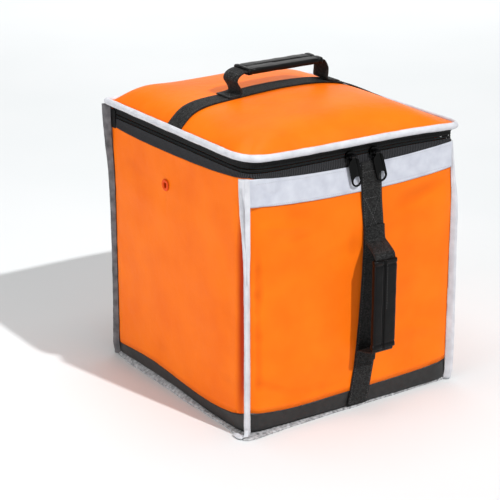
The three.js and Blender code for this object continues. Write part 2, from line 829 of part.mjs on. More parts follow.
// A wrapped grip, drawn across its width: a flat sleeve with a slot for the webbing and a closing
// slit beside its middle.
function gripSection(slit) {
  const halfWidth = gripWidth / 2;
  const halfThick = gripThickness / 2;
  const soft = halfThick * 0.6;
  const shape = new THREE.Shape();
  shape.moveTo(-halfWidth + soft, -halfThick);
  shape.lineTo(halfWidth - soft, -halfThick);
  shape.quadraticCurveTo(halfWidth, -halfThick, halfWidth, 0);
  shape.quadraticCurveTo(halfWidth, halfThick, halfWidth - soft, halfThick);
  shape.lineTo(slit + gripGroove, halfThick);
  shape.lineTo(slit, halfThick - gripGroove);
  shape.lineTo(slit - gripGroove, halfThick);
  shape.lineTo(-halfWidth + soft, halfThick);
  shape.quadraticCurveTo(-halfWidth, halfThick, -halfWidth, 0);
  shape.quadraticCurveTo(-halfWidth, -halfThick, -halfWidth + soft, -halfThick);
  const slot = new THREE.Path();
  const slotWidth = webbingWidth / 2 + gap;
  const slotThick = webbingThickness / 2 + gap;
  slot.moveTo(-slotWidth, -slotThick);
  slot.lineTo(-slotWidth, slotThick);
  slot.lineTo(slotWidth, slotThick);
  slot.lineTo(slotWidth, -slotThick);
  slot.closePath();
  shape.holes.push(slot);
  return shape;
}

// A grip whose section's right and upper side face right and up, with its length between them.
function grip(slit, right, up, centre, length) {
  const lengthways = new THREE.Vector3().crossVectors(right, up);
  const sleeve = new THREE.ExtrudeGeometry(gripSection(slit), {
    depth: length,
    bevelEnabled: false,
    curveSegments: 3,
  });
  return reshape(sleeve, (x, y, z) =>
    centre
      .clone()
      .addScaledVector(right, x)
      .addScaledVector(up, y)
      .addScaledVector(lengthways, z - length / 2),
  );
}

const towardsX = new THREE.Vector3(1, 0, 0);
const towardsY = new THREE.Vector3(0, 1, 0);
const towardsZ = new THREE.Vector3(0, 0, 1);

// The straight part of a handle runs a little past both ends of its grip.
const gripEnd = (length, end) => [
  end * (length / 2 + webbingWidth * 0.12),
  end * (length / 2 + webbingWidth * 0.04),
];

const topGripHeight = rimHeight + topHandleRise;

function topHandle() {
  const lift = clothGap + webbingThickness + clothGap + webbingThickness / 2;
  const edge = webbingWidth / 2 / lidHalf.y;
  const surface = (x) =>
    lift + Math.max(domeHeight(x / lidHalf.x, -edge), domeHeight(x / lidHalf.x, edge));
  const point = (x, rise) => {
    const place = topHandleOffset + x;
    return new THREE.Vector3(place, 0, mix(surface(place), topGripHeight, rise));
  };
  const leg = (end) => [
    point(end * (topHandleSpan / 2 + handleFoot), 0),
    point(end * (topHandleSpan / 2 + handleFoot * 0.4), 0),
    ...topLegs.map((row) => {
      const along = end < 0 ? row.left : row.right;
      return point(end * (topHandleSpan / 2 - along * webbingWidth), row.rise);
    }),
  ];
  const straight = (end) => gripEnd(topGripLength, end).map((x) => point(x, 1));
  const points = [...leg(-1), ...straight(-1), ...straight(1).reverse(), ...leg(1).reverse()];
  return ribbon(curveThrough(points), handleSteps, towardsY, webbingWidth, webbingThickness);
}

function topGrip() {
  const centre = new THREE.Vector3(topHandleOffset, 0, topGripHeight);
  return grip(0, towardsY, towardsZ, centre, topGripLength);
}

const frontGripOut = bodyDepth / 2 + frontHandleReach;

function frontHandle() {
  const lift = webbingThickness + clothGap + webbingThickness / 2;
  const point = (z, rise) => {
    const out = mix(strapUnderside(z) + lift, frontGripOut, rise);
    return new THREE.Vector3(mix(strapShift(z), frontGripOffset, smooth(rise)), -out, z);
  };
  const leg = (foot, end) => {
    const stop = frontHandleHeight + gripEnd(frontGripLength, end)[0];
    return [
      point(foot + end * handleFoot, 0),
      point(foot + end * handleFoot * 0.4, 0),
      ...frontLeg.map((row) => point(mix(foot, stop, row.along), row.rise)),
    ];
  };
  const straight = (end) =>
    gripEnd(frontGripLength, end).map((z) => point(frontHandleHeight + z, 1));
  const points = [
    ...leg(frontHandleTop, 1),
    ...straight(1),
    ...straight(-1).reverse(),
    ...leg(frontHandleFoot, -1).reverse(),
  ];
  return ribbon(curveThrough(points), handleSteps, towardsX, webbingWidth, webbingThickness);
}

function frontGrip() {
  const centre = new THREE.Vector3(frontGripOffset, -frontGripOut, frontHandleHeight);
  const slit = gripWidth * 0.12;
  const right = towardsX.clone().negate();
  return grip(slit, right, towardsY.clone().negate(), centre, frontGripLength);
}

// The shoulder straps' ends lie flat on the back panel.
function shoulderStrap(end) {
  const rows = shoulderLine.map((row, index) => ({ ...row, at: index / (shoulderLine.length - 1) }));
  const size = (share) => [follow(rows, "width", share), follow(rows, "thick", share)];
  const points = Array.from({ length: shoulderSteps + 1 }, (_, step) => {
    const share = step / shoulderSteps;
    const across = end * shoulderSpread * follow(rows, "across", share);
    const z = rimHeight * follow(rows, "height", share);
    const face = facePoint("back", -across / sides.back.half, z).out;
    const bow = shoulderBow * Math.max(follow(rows, "bow", share), 0);
    return new THREE.Vector3(across, face + clothGap + (shoulderThickness * size(share)[1]) / 2 + bow, z);
  });
  const curve = curveThrough(points);
  return ribbon(curve, shoulderSteps, towardsX, shoulderWidth, shoulderThickness, size);
}

// Sliders and pullers, modelled about the middle of the bar with the zip's face behind, at +Y

const barOut = bodyDepth / 2 - coilFace + bridgeReach;

function bar(radius, length) {
  return new THREE.CylinderGeometry(radius, radius, length, 12).rotateZ(Math.PI / 2);
}

function slider() {
  const outline = new THREE.Shape();
  const halfLength = sliderLength / 2;
  const halfHeight = sliderHeight / 2;
  outline.moveTo(-halfLength, -halfHeight * 0.55);
  outline.quadraticCurveTo(-halfLength * 0.75, -halfHeight, -halfLength * 0.25, -halfHeight);
  outline.quadraticCurveTo(halfLength, -halfHeight, halfLength, 0);
  outline.quadraticCurveTo(halfLength, halfHeight, -halfLength * 0.25, halfHeight);
  outline.quadraticCurveTo(-halfLength * 0.75, halfHeight, -halfLength, halfHeight * 0.55);
  outline.closePath();
  const plate = new THREE.ExtrudeGeometry(outline, {
    depth: sliderThickness,
    bevelEnabled: false,
    curveSegments: 4,
  });
  plate.rotateX(Math.PI / 2).translate(0, bridgeReach - gap, 0);
  const legThickness = barRadius * 1.4;
  const legReach = bridgeReach - gap - sliderThickness / 2 + barRadius;
  const legs = [-1, 1].map((end) =>
    new THREE.BoxGeometry(legThickness, legReach, barRadius * 2.6).translate(
      (end * (bridgeWidth + legThickness)) / 2,
      legReach / 2 - barRadius,
      0,
    ),
  );
  return join(plate, ...legs, bar(barRadius, bridgeWidth + legThickness));
}

// The plate hangs from its knuckle, leaning a little to the right.
function puller(lean) {
  const half = pullerWidth / 2;
  const neck = knuckleLength * 0.42;
  const ringCentre = -pullerReach;
  const outline = new THREE.Shape();
  outline.moveTo(-neck, 0);
  outline.lineTo(-neck, -pullerNeck * 0.6);
  outline.quadraticCurveTo(-half, -pullerNeck * 0.8, -half, -pullerNeck * 1.7);
  outline.lineTo(-half, ringCentre);
  outline.absarc(0, ringCentre, half, Math.PI, 2 * Math.PI, false);
  outline.lineTo(half, -pullerNeck * 1.7);
  outline.quadraticCurveTo(half, -pullerNeck * 0.8, neck, -pullerNeck * 0.6);
  outline.lineTo(neck, 0);
  outline.closePath();
  const hole = new THREE.Path();
  hole.absarc(0, ringCentre, pullerHoleRadius, 0, 2 * Math.PI, true);
  outline.holes.push(hole);
  const plate = new THREE.ExtrudeGeometry(outline, {
    depth: pullerThickness,
    bevelEnabled: false,
    curveSegments: 8,
  });
  plate.rotateX(Math.PI / 2).translate(0, pullerThickness / 2, 0);
  plate.rotateY(THREE.MathUtils.degToRad(-lean));
  const knuckleRadius = barRadius + barClearance + knuckleWall;
  const whole = join(plate, bar(knuckleRadius, knuckleLength));
  return cut(whole, bar(barRadius + barClearance, pullerWidth));
}

// Places of the sliders right of the bag's middle, as shares of their spacing, and how far their
// pullers lean, in degrees.
const sliderRows = [
  { name: "left", shift: -0.27, lean: 12 },
  { name: "right", shift: 0.73, lean: 16 },
];

// How far the lid's edge and all above it lie below the level rim at a place.
function sag(x, y) {
  const beyond = (side) => Math.max(side * x - levelShare * basePlan.half.x, 0) / basePlan.half.x;
  const backwards = 1 + (0.2 * y) / basePlan.half.y;
  return (sagRight * beyond(1) ** 2 - liftLeft * beyond(-1) ** 2) * 2 * backwards;
}

// Lets the soft pieces above the panels down by the sag.
function settle(mesh) {
  const at = mesh.geometry.getAttribute("position");
  for (let i = 0; i < at.count; i += 1) {
    const share = smooth((at.getZ(i) - panelTop) / (rimFoot - panelTop));
    at.setZ(i, at.getZ(i) - share * sag(at.getX(i), at.getY(i)));
  }
  mesh.geometry.computeVertexNormals();
}

// The assembly

function addBody(bag) {
  bag.add(
    piece("front_panel", panel("front"), orange),
    piece("right_panel", panel("right"), orange),
    piece("back_panel", panel("back"), orange),
    piece("left_panel", leftPanel(), orange),
    piece("base_panel", basePanel(), black, 0.7),
    piece("reflective_band", reflectiveBand(), bandGrey, 0.5),
    piece("eyelet", eyelet(), "#f26a22", 0.45),
  );
  Object.keys(sides).forEach((name) => {
    bag.add(piece(name + "_strip", strip(name), black, 0.7));
  });
}

function addTrim(bag) {
  bag.add(
    piece("zip_lower_tape", lowerTape(), zipBlack, 0.85),
    piece("zip_coil", zipCoil(), hardBlack, 0.5),
    piece("zip_upper_tape", upperTape(), zipBlack, 0.85),
    piece("lid_binding", lidBinding(), bindingGrey, 0.7),
    piece("base_binding", baseBinding(), bindingGrey, 0.7),
  );
  corners.forEach((corner) => {
    const words = corner.replace(/[A-Z]/, (letter) => "_" + letter.toLowerCase());
    bag.add(piece(words + "_binding", cornerBinding(corner), bindingGrey, 0.7));
  });
}

function addLid(bag) {
  bag.add(
    piece("lid_panel", lidPanel(), orange),
    piece("lid_strap", lidStrap(), webbingBlack, 0.9),
    piece("top_handle", topHandle(), webbingBlack, 0.9),
    piece("top_grip", topGrip(), gripBlack, 0.6),
  );
}

function addStraps(bag) {
  bag.add(
    piece("front_strap", frontStrap(), webbingBlack, 0.9),
    piece("front_handle", frontHandle(), webbingBlack, 0.9),
    piece("front_grip", frontGrip(), gripBlack, 0.6),
    piece("left_shoulder_strap", shoulderStrap(-1), webbingBlack, 0.9),
    piece("right_shoulder_strap", shoulderStrap(1), webbingBlack, 0.9),
  );
}

function addSliders(bag) {
  sliderRows.forEach((row) => {
    const place = new THREE.Group();
    place.position.set(row.shift * sliderSpacing, -barOut, coilMiddle);
    place.add(
      piece("slider_" + row.name, slider(), hardBlack, 0.4, 0.6),
      piece("puller_" + row.name, puller(row.lean), hardBlack, 0.4, 0.6),
    );
    bag.add(place);
  });
}

const bag = new THREE.Group();
[addBody, addTrim, addLid, addStraps].forEach((add) => add(bag));
bag.children.forEach(settle);
addSliders(bag);

export default bag;
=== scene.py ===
# Insulated delivery backpack: coated orange cloth over padding, light bound seams, a domed lid with
# a zip on three sides, black webbing with two wrapped grips, and shoulder straps on the back.
import math

import bmesh
import bpy
import numpy as np
from mathutils import Matrix, Vector, noise
from mathutils.bvhtree import BVHTree


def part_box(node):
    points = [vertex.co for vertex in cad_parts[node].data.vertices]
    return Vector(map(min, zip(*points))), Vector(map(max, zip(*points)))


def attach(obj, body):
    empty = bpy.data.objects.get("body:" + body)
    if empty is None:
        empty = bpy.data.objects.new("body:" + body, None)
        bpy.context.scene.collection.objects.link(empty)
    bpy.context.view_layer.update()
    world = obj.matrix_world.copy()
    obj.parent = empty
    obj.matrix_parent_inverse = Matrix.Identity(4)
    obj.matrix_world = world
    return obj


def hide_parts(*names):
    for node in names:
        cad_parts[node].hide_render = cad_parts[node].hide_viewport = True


mm = 0.001


# Camera at the photograph's angle, then the fixed frame

photoView = {
    "place": (-1531.6, -2179.6, 1159.1),
    "target": (-41.0, 27.7, 205.4),
    "lens": 124.8,
    "sensor": 36,
    "farthest": 50,  # metres
}


def makeCamera():
    lens = bpy.data.cameras.new("photoCamera")
    lens.lens = photoView["lens"]
    lens.sensor_width = photoView["sensor"]
    lens.clip_end = photoView["farthest"]
    camera = bpy.data.objects.new("photoCamera", lens)
    bpy.context.scene.collection.objects.link(camera)
    place, target = (Vector(photoView[key]) * mm for key in ("place", "target"))
    camera.location = place
    camera.rotation_mode = "QUATERNION"
    camera.rotation_quaternion = (target - place).to_track_quat("-Z", "Y")
    bpy.context.scene.camera = camera


makeCamera()
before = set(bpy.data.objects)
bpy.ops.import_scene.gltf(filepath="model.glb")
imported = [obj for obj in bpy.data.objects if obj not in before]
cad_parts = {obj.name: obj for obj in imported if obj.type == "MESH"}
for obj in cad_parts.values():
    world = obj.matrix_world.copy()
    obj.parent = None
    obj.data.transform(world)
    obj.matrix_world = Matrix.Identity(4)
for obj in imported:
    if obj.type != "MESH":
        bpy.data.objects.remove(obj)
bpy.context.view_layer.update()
print("frame loaded:", len(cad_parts), "nodes")


# Materials

colourA, colourB, colourOut = 6, 7, 2  # places of the Mix node's colour sockets


def srgb(code):
    # a hex colour as linear numbers
    shares = [int(code[i:i + 2], 16) / 255 for i in (1, 3, 5)]
    return [s / 12.92 if s <= 0.04045 else ((s + 0.055) / 1.055) ** 2.4 for s in shares] + [1.0]


def addNode(tree, kind, inputs=None, **settings):
    # adds a node, sets it up and links or sets its sockets
    node = tree.nodes.new("ShaderNode" + kind)
    for name, value in settings.items():
        setattr(node, name, value)
    for name, value in (inputs or {}).items():
        if isinstance(value, bpy.types.NodeSocket):
            tree.links.new(value, node.inputs[name])
        else:
            node.inputs[name].default_value = value
    return node


def startMaterial(name, look):
    material = bpy.data.materials.new(name)
    material.use_nodes = True
    shader = material.node_tree.nodes["Principled BSDF"]
    for socket, value in look.items():
        shader.inputs[socket].default_value = value
    return material, material.node_tree, shader


def finishMaterial(tree, shader, colour=None, relief=None):
    # links the colour and the uppermost relief to the surface
    if colour is not None:
        tree.links.new(colour, shader.inputs["Base Color"])
    if relief is not None:
        tree.links.new(relief.outputs["Normal"], shader.inputs["Normal"])


def perMm(size):
    # texture scale for features of this size in millimetres, on coordinates in metres
    return 1 / (size * mm)


def bandScale(period):
    # wave texture scale for bands this many millimetres apart
    return math.pi / 10 / (period * mm)


def patches(tree, place, size, detail=2.0, highest=1.0):
    # soft uneven patches of a size in millimetres, from 0 to a highest level
    grain = addNode(tree, "TexNoise", {"Vector": place, "Scale": perMm(size), "Detail": detail})
    spread = addNode(tree, "MapRange", {"Value": grain.outputs["Fac"], "From Min": 0.3, "From Max": 0.7,
                                        "To Max": highest})
    return spread.outputs["Result"]


def mottle(tree, place, size, dark, pale, detail=2.0, highest=1.0):
    # two colours in soft uneven patches
    share = patches(tree, place, size, detail, highest)
    return addNode(tree, "Mix", {"Factor": share, colourA: srgb(dark), colourB: srgb(pale)},
                   data_type="RGBA").outputs[colourOut]


def plainWeave(tree, threads, spacing, depth):
    # relief of a plain weave on the piece's own map: its threads' spacing and depth in millimetres
    bands = [addNode(tree, "TexWave", {"Vector": threads, "Scale": bandScale(spacing * 2)},
                     bands_direction=way).outputs["Fac"] for way in ("X", "Y")]
    crossed = addNode(tree, "Math", {0: bands[0], 1: bands[1]}, operation="MULTIPLY")
    return addNode(tree, "Bump", {"Height": crossed.outputs[0], "Distance": depth * mm})


def coatedPolyester():
    # polyurethane-coated polyester cloth: saturated orange with a soft wide sheen, the weave just felt
    look = {"Roughness": 0.45, "Specular IOR Level": 0.1}
    material, tree, shader = startMaterial("orangeCoatedPolyester", look)
    coordinates = addNode(tree, "TexCoord").outputs
    cloth = mottle(tree, coordinates["Object"], 70, "#ec6a0a", "#f37410")
    # painted shade: the cloth is painted a darker red down in a fold, where shade falls, by the fold depth
    # the panels store
    depth = addNode(tree, "Attribute", attribute_name="fold")
    hollow = addNode(tree, "MapRange", {"Value": depth.outputs["Fac"], "From Min": -0.8, "From Max": -5.0})
    folded = addNode(tree, "Mix", {"Factor": hollow.outputs["Result"], colourA: cloth,
                                   colourB: srgb("#ab2e00")}, data_type="RGBA")
    ripple = addNode(tree, "Bump", {"Height": patches(tree, coordinates["Object"], 14, 3.0),
                                    "Distance": 0.25 * mm})
    weave = plainWeave(tree, coordinates["UV"], 0.9, 0.05)  # drawn coarser than real, to show
    tree.links.new(ripple.outputs["Normal"], weave.inputs["Normal"])
    finishMaterial(tree, shader, folded.outputs[colourOut], weave)
    return material


def blackPolyester():
    # matt black coated cloth of the strip round the foot: dull, with pale dust in the weave
    look = {"Roughness": 0.42, "Specular IOR Level": 0.45}
    material, tree, shader = startMaterial("blackCoatedPolyester", look)
    coordinates = addNode(tree, "TexCoord").outputs
    dusty = mottle(tree, coordinates["Object"], 9, "#0f0f0f", "#1e1e1e", 4.0)
    finishMaterial(tree, shader, dusty, plainWeave(tree, coordinates["UV"], 1.1, 0.12))
    return material


def reflectiveCloth():
    # glass-bead reflective cloth: cool silver-grey with a satin lustre and soft handling marks
    look = {"Roughness": 0.42, "Specular IOR Level": 0.6, "Metallic": 0.12}
    material, tree, shader = startMaterial("silverReflectiveCloth", look)
    coordinates = addNode(tree, "TexCoord").outputs
    marked = mottle(tree, coordinates["Object"], 22, "#b9bcc8", "#cdd0d9", 4.0)
    finishMaterial(tree, shader, marked, plainWeave(tree, coordinates["UV"], 1.0, 0.06))
    return material


def grosgrain(name, dark, pale, soilSize):
    # grey grosgrain binding: fine cross ribs, dry and slightly silky, greyer where it scuffs; its darker
    # copies are painted darker for shade
    look = {"Roughness": 0.62, "Specular IOR Level": 0.3, "Sheen Weight": 0.1, "Sheen Roughness": 0.4}
    material, tree, shader = startMaterial(name, look)
    coordinates = addNode(tree, "TexCoord").outputs
    soiled = mottle(tree, coordinates["Object"], soilSize, dark, pale, 4.0)
    finishMaterial(tree, shader, soiled, plainWeave(tree, coordinates["UV"], 0.9, 0.15))
    return material


def polyWebbing():
    # polypropylene webbing: heavy ribs one thread wide, each thread a little lighter or darker,
    # drawn a quarter coarser than real so that the threads show
    look = {"Roughness": 0.7, "Specular IOR Level": 0.2, "Sheen Weight": 0.03, "Sheen Roughness": 0.5}
    material, tree, shader = startMaterial("blackWebbing", look)
    threads = addNode(tree, "TexCoord").outputs["UV"]
    picks = addNode(tree, "TexBrick", {"Vector": threads, "Color1": srgb("#040404"),
                                       "Color2": srgb("#343434"), "Mortar": srgb("#050505"),
                                       "Scale": perMm(1.25), "Mortar Size": 0.25, "Mortar Smooth": 0.6,
                                       "Brick Width": 2.2, "Row Height": 1.5})
    raised = addNode(tree, "Math", {0: 1.0, 1: picks.outputs["Fac"]}, operation="SUBTRACT")
    ribs = addNode(tree, "Bump", {"Height": raised.outputs[0], "Distance": 0.35 * mm})
    finishMaterial(tree, shader, picks.outputs["Color"], ribs)
    return material


def zipTapeKnit(name, dark, pale):
    # warp-knitted polyester tape: dull, with wales that run up and down across the zip,
    # drawn coarser than real so that they show
    look = {"Roughness": 0.75, "Specular IOR Level": 0.2}
    material, tree, shader = startMaterial(name, look)
    threads = addNode(tree, "TexCoord").outputs["UV"]
    wales = addNode(tree, "TexWave", {"Vector": threads, "Scale": bandScale(3.2), "Distortion": 1.2,
                                      "Detail Scale": perMm(300)}, bands_direction="X").outputs["Fac"]
    knit = addNode(tree, "Mix", {"Factor": wales, colourA: srgb(dark), colourB: srgb(pale)},
                   data_type="RGBA")
    ribs = addNode(tree, "Bump", {"Height": wales, "Distance": 0.3 * mm})
    finishMaterial(tree, shader, knit.outputs[colourOut], ribs)
    return material


def coilNylon():
    # nylon monofilament coil: hard, dark and faintly glossy
    look = {"Base Color": srgb("#080809"), "Roughness": 0.6, "Specular IOR Level": 0.2, "IOR": 1.53}
    material, tree, shader = startMaterial("blackNylonCoil", look)
    place = addNode(tree, "TexCoord").outputs["Object"]
    uneven = addNode(tree, "Bump", {"Height": patches(tree, place, 3), "Distance": 0.05 * mm})
    finishMaterial(tree, shader, relief=uneven)
    return material


def wrapVinyl():
    # soft vinyl wrap with a fine leather grain: low gloss that catches light along its folds
    look = {"Roughness": 0.34, "Specular IOR Level": 0.16}
    material, tree, shader = startMaterial("blackVinylWrap", look)
    place = addNode(tree, "TexCoord").outputs["Object"]
    rubbed = mottle(tree, place, 25, "#040404", "#0a090a")
    folds = addNode(tree, "Bump", {"Height": patches(tree, place, 8), "Distance": 0.15 * mm})
    cells = addNode(tree, "TexVoronoi", {"Vector": place, "Scale": perMm(1.6)}, feature="SMOOTH_F1")
    grain = addNode(tree, "Bump", {"Height": cells.outputs["Distance"], "Distance": 0.12 * mm,
                                   "Normal": folds.outputs["Normal"]})
    finishMaterial(tree, shader, rubbed, grain)
    return material


def lacquer(name, dark, pale, roughness, coat):
    # lacquer sprayed on metal: faint orange peel, and edges rubbed a little lighter
    look = {"Roughness": roughness, "Specular IOR Level": 0.12, "Coat Weight": coat, "Coat Roughness": 0.08}
    material, tree, shader = startMaterial(name, look)
    place = addNode(tree, "TexCoord").outputs["Object"]
    edge = addNode(tree, "NewGeometry").outputs["Pointiness"]
    worn = addNode(tree, "MapRange", {"Value": edge, "From Min": 0.54, "From Max": 0.62})
    rubbed = addNode(tree, "Mix", {"Factor": worn.outputs["Result"], colourA: srgb(dark),
                                   colourB: srgb(pale)}, data_type="RGBA")
    peel = addNode(tree, "Bump", {"Height": patches(tree, place, 1.5), "Distance": 0.03 * mm})
    finishMaterial(tree, shader, rubbed.outputs[colourOut], peel)
    return material


def spacerMesh():
    # black spacer mesh over foam: dull cloth with rows of small dark openings
    look = {"Roughness": 0.85, "Specular IOR Level": 0.3, "Sheen Weight": 0.2}
    material, tree, shader = startMaterial("blackSpacerMesh", look)
    threads = addNode(tree, "TexCoord").outputs["UV"]
    cells = addNode(tree, "TexVoronoi", {"Vector": threads, "Scale": perMm(2.6), "Randomness": 0.25})
    yarn = addNode(tree, "MapRange", {"Value": cells.outputs["Distance"], "From Min": 0.2,
                                      "From Max": 0.45}).outputs["Result"]
    mesh = addNode(tree, "Mix", {"Factor": yarn, colourA: srgb("#0f0f0f"), colourB: srgb("#2c2c2c")},
                   data_type="RGBA")
    holes = addNode(tree, "Bump", {"Height": yarn, "Distance": 0.5 * mm})
    finishMaterial(tree, shader, mesh.outputs[colourOut], holes)
    return material


def sewingThread(name, colour):
    # bonded polyester thread: a smooth twisted yarn with a dull shine
    look = {"Roughness": 0.5, "Sheen Weight": 0.2}
    material, tree, shader = startMaterial(name, look)
    place = addNode(tree, "TexCoord").outputs["Object"]
    fuzz = mottle(tree, place, 20, colour, "#808080", highest=0.2)
    twist = addNode(tree, "TexWave", {"Vector": place, "Scale": bandScale(0.8)}, bands_direction="DIAGONAL")
    yarn = addNode(tree, "Bump", {"Height": twist.outputs["Fac"], "Distance": 0.1 * mm})
    finishMaterial(tree, shader, fuzz, yarn)
    return material


looks = {
    "orange": coatedPolyester(),
    "black": blackPolyester(),
    "band": reflectiveCloth(),
    "binding": grosgrain("lightGrosgrain", "#bbbcc2", "#cfd0d5", 16),
    # partly painted shade: the base's binding is painted darker grey than the other bindings for the shade
    # under the bag's foot, with real scuffs in small patches
    "scuffedShadedBinding": grosgrain("scuffedShadedGrosgrain", "#68686a", "#c0c0c2", 5),
    # painted shade: a darker grey copy of the light binding, for the back left corner's binding that stands
    # in shade
    "shadedBinding": grosgrain("paintedShadeGrosgrain", "#444345", "#6f6d70", 12),
    "webbing": polyWebbing(),
    "zipTape": zipTapeKnit("blackZipTape", "#050506", "#39393c"),
    # painted shade: the same black zip tape painted darker, for the upper tape and the end tabs that lie in
    # the lid's shade
    "shadedInnerTape": zipTapeKnit("shadedZipTape", "#060606", "#141415"),
    "coil": coilNylon(),
    "wrap": wrapVinyl(),
    "metal": lacquer("blackLacqueredZinc", "#010101", "#101012", 0.2, 0.0),
    "enamel": lacquer("orangeEnamelledBrass", "#dd4706", "#ff8c4c", 0.5, 0.05),
    "mesh": spacerMesh(),
    "blackThread": sewingThread("blackThread", "#161618"),
    "lightThread": sewingThread("lightThread", "#b9bac2"),
}
print("materials made:", len(looks))


# Cloth tools

def meshOf(nodeName, joinAngle=60):
    # the node's skin as a bmesh, with its corners merged and its triangles paired
    bm = bmesh.new()
    bm.from_mesh(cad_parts[nodeName].data)
    bmesh.ops.remove_doubles(bm, verts=bm.verts, dist=0.005 * mm)
    limit = math.radians(joinAngle)
    bmesh.ops.join_triangles(bm, faces=bm.faces, angle_face_threshold=limit,
                             angle_shape_threshold=limit)
    return bm


def cutLoops(bm, direction, places):
    # cuts a loop across the mesh at each place, in metres along a direction
    for place in places:
        everything = bm.verts[:] + bm.edges[:] + bm.faces[:]
        bmesh.ops.bisect_plane(bm, geom=everything, plane_co=direction * place, plane_no=direction,
                               dist=1e-6)


def evenPlaces(start, end, count):
    # the places that part a length into this many even steps
    return [start + (end - start) * i / count for i in range(1, count)]


def soften(bm, levels, sharpAngle=50, crease=1.0):
    # subdivides the mesh smoothly and keeps the edges that are sharper than an angle
    layer = bm.edges.layers.float.get("crease_edge") or bm.edges.layers.float.new("crease_edge")
    for edge in bm.edges:
        if len(edge.link_faces) == 2 and edge.calc_face_angle(0) > math.radians(sharpAngle):
            edge[layer] = crease
    coarse = bpy.data.meshes.new("coarse")
    bm.to_mesh(coarse)
    holder = bpy.data.objects.new("coarse", coarse)
    bpy.context.scene.collection.objects.link(holder)
    modifier = holder.modifiers.new("Subdivision", "SUBSURF")
    modifier.levels = modifier.render_levels = levels
    fine = bpy.data.meshes.new_from_object(holder.evaluated_get(bpy.context.evaluated_depsgraph_get()))
    bm.clear()
    bm.from_mesh(fine)
    bpy.data.objects.remove(holder)
    bpy.data.meshes.remove(coarse)
    bpy.data.meshes.remove(fine)
    bm.normal_update()


def shift(bm, offset):
    # moves every corner by a vector that depends on its place and normal
    moves = [offset(vert.co, vert.normal) for vert in bm.verts]
    for vert, move in zip(bm.verts, moves):
        vert.co += move
    bm.normal_update()


def bell(distance, reach):
    return math.exp(-((distance / reach) ** 2))


def smoothStep(value):
    share = min(max(value, 0.0), 1.0)
    return share * share * (3 - 2 * share)


def rough(point, size, seed):
    # smooth noise from -1 to 1 with features of a size in millimetres
    return noise.noise(point / (size * mm) + Vector((seed, seed * 1.7, seed * 0.6)))


def waveDepth(point, waves):
    # how far, in millimetres, layers of soft waves lift the cloth here
    return sum(wave["depth"] * rough(point, wave["size"], wave["seed"]) for wave in waves)


def mapThreads(bm):
    # lays the map of the threads on each face, in metres, square to the face's main direction
    layer = bm.loops.layers.uv.get("UVMap") or bm.loops.layers.uv.new("UVMap")
    for face in bm.faces:
        sizes = [abs(part) for part in face.normal]
        main = sizes.index(max(sizes))
        for loop in face.loops:
            x, y, z = loop.vert.co
            loop[layer].uv = ((y, z), (x, z), (x, y))[main]


def addPiece(name, bm, look, replaced=(), body="bag", sharpAngle=55):
    mapThreads(bm)
    mesh = bpy.data.meshes.new(name)
    bm.to_mesh(mesh)
    bm.free()
    mesh.materials.append(looks[look])
    mesh.shade_smooth()
    mesh.set_sharp_from_angle(angle=math.radians(sharpAngle))
    piece = bpy.data.objects.new(name, mesh)
    bpy.context.scene.collection.objects.link(piece)
    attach(piece, body)
    if replaced:
        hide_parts(*replaced)
    return piece


def clothPiece(node, name, look, slot, levels=2, sharpAngle=60, crease=1.0, waves=()):
    # a node's own shape, softened, with soft waves in its surface
    bm = meshOf(node)
    soften(bm, levels, sharpAngle, crease)
    shift(bm, lambda co, normal: normal * (waveDepth(co, waves) * mm))
    return addPiece(name, bm, look, [node])


tape = {"columns": 4, "steps": 24, "smoothing": 0.4, "sharpAngle": 60, "crease": 0.6}


def tapeAlong(points, sides, widths, thickness, steps=tape["steps"]):
    # a strip of tape through points in millimetres: at each one its width lies along a side vector
    shares = np.linspace(0, 1, len(points))
    bm = bmesh.new()
    bmesh.ops.create_grid(bm, x_segments=tape["columns"], y_segments=steps, size=1)
    for vert in bm.verts:
        share = (vert.co.y + 1) / 2
        place, side = (Vector([np.interp(share, shares, [row[axis] for row in rows]) for axis in range(3)])
                       for rows in (points, sides))
        vert.co = (place + side.normalized() * vert.co.x * np.interp(share, shares, widths) / 2) * mm
    bmesh.ops.smooth_vert(bm, verts=bm.verts, factor=tape["smoothing"], use_axis_x=True,
                          use_axis_y=True, use_axis_z=True)
    bmesh.ops.solidify(bm, geom=bm.faces[:], thickness=thickness * mm)
    bmesh.ops.recalc_face_normals(bm, faces=bm.faces)
    soften(bm, 1, tape["sharpAngle"], tape["crease"])
    return bm


# Sewing tools

thread = {"pitch": 4.2, "length": 3.0, "width": 0.95, "proud": 0.8, "lift": 0.1, "castFrom": 60}


def skinOf(piece):
    # the piece's final surface, for finding where a line of stitches lies
    return BVHTree.FromObject(piece, bpy.context.evaluated_depsgraph_get())


def walk(line, pitch):
    # even steps along a line of points: (place, direction)
    steps = []
    carried = 0.0
    for start, end in zip(line, line[1:]):
        run = end - start
        while carried < run.length:
            steps.append((start + run.normalized() * carried, run.normalized()))
            carried += pitch
        carried -= run.length
    return steps


def placing(place, along, out, sizes):
    # turns and scales a unit shape: its X lies along the line and its Z points out of the cloth
    across = out.cross(along).normalized()
    turn = Matrix((along.normalized(), across, along.cross(across).normalized())).transposed().to_4x4()
    return Matrix.Translation(place) @ turn @ Matrix.Diagonal((*[size * mm / 2 for size in sizes], 1))


def sew(bm, skin, line, inwards, pitch=thread["pitch"], slant=0.0):
    # lays stitches on a surface under a line of points in millimetres, looking inwards
    inwards = Vector(inwards)
    for place, along in walk([Vector(point) * mm for point in line], pitch * mm):
        hit, normal, _, _ = skin.ray_cast(place - inwards * thread["castFrom"] * mm, inwards)
        if hit is None:
            continue
        lie = Matrix.Rotation(slant, 3, normal) @ (along - normal * along.dot(normal)).normalized()
        matrix = placing(hit + normal * thread["lift"] * mm, lie, normal,
                         (thread["length"], thread["width"], thread["proud"]))
        bmesh.ops.create_icosphere(bm, subdivisions=1, radius=1, matrix=matrix)


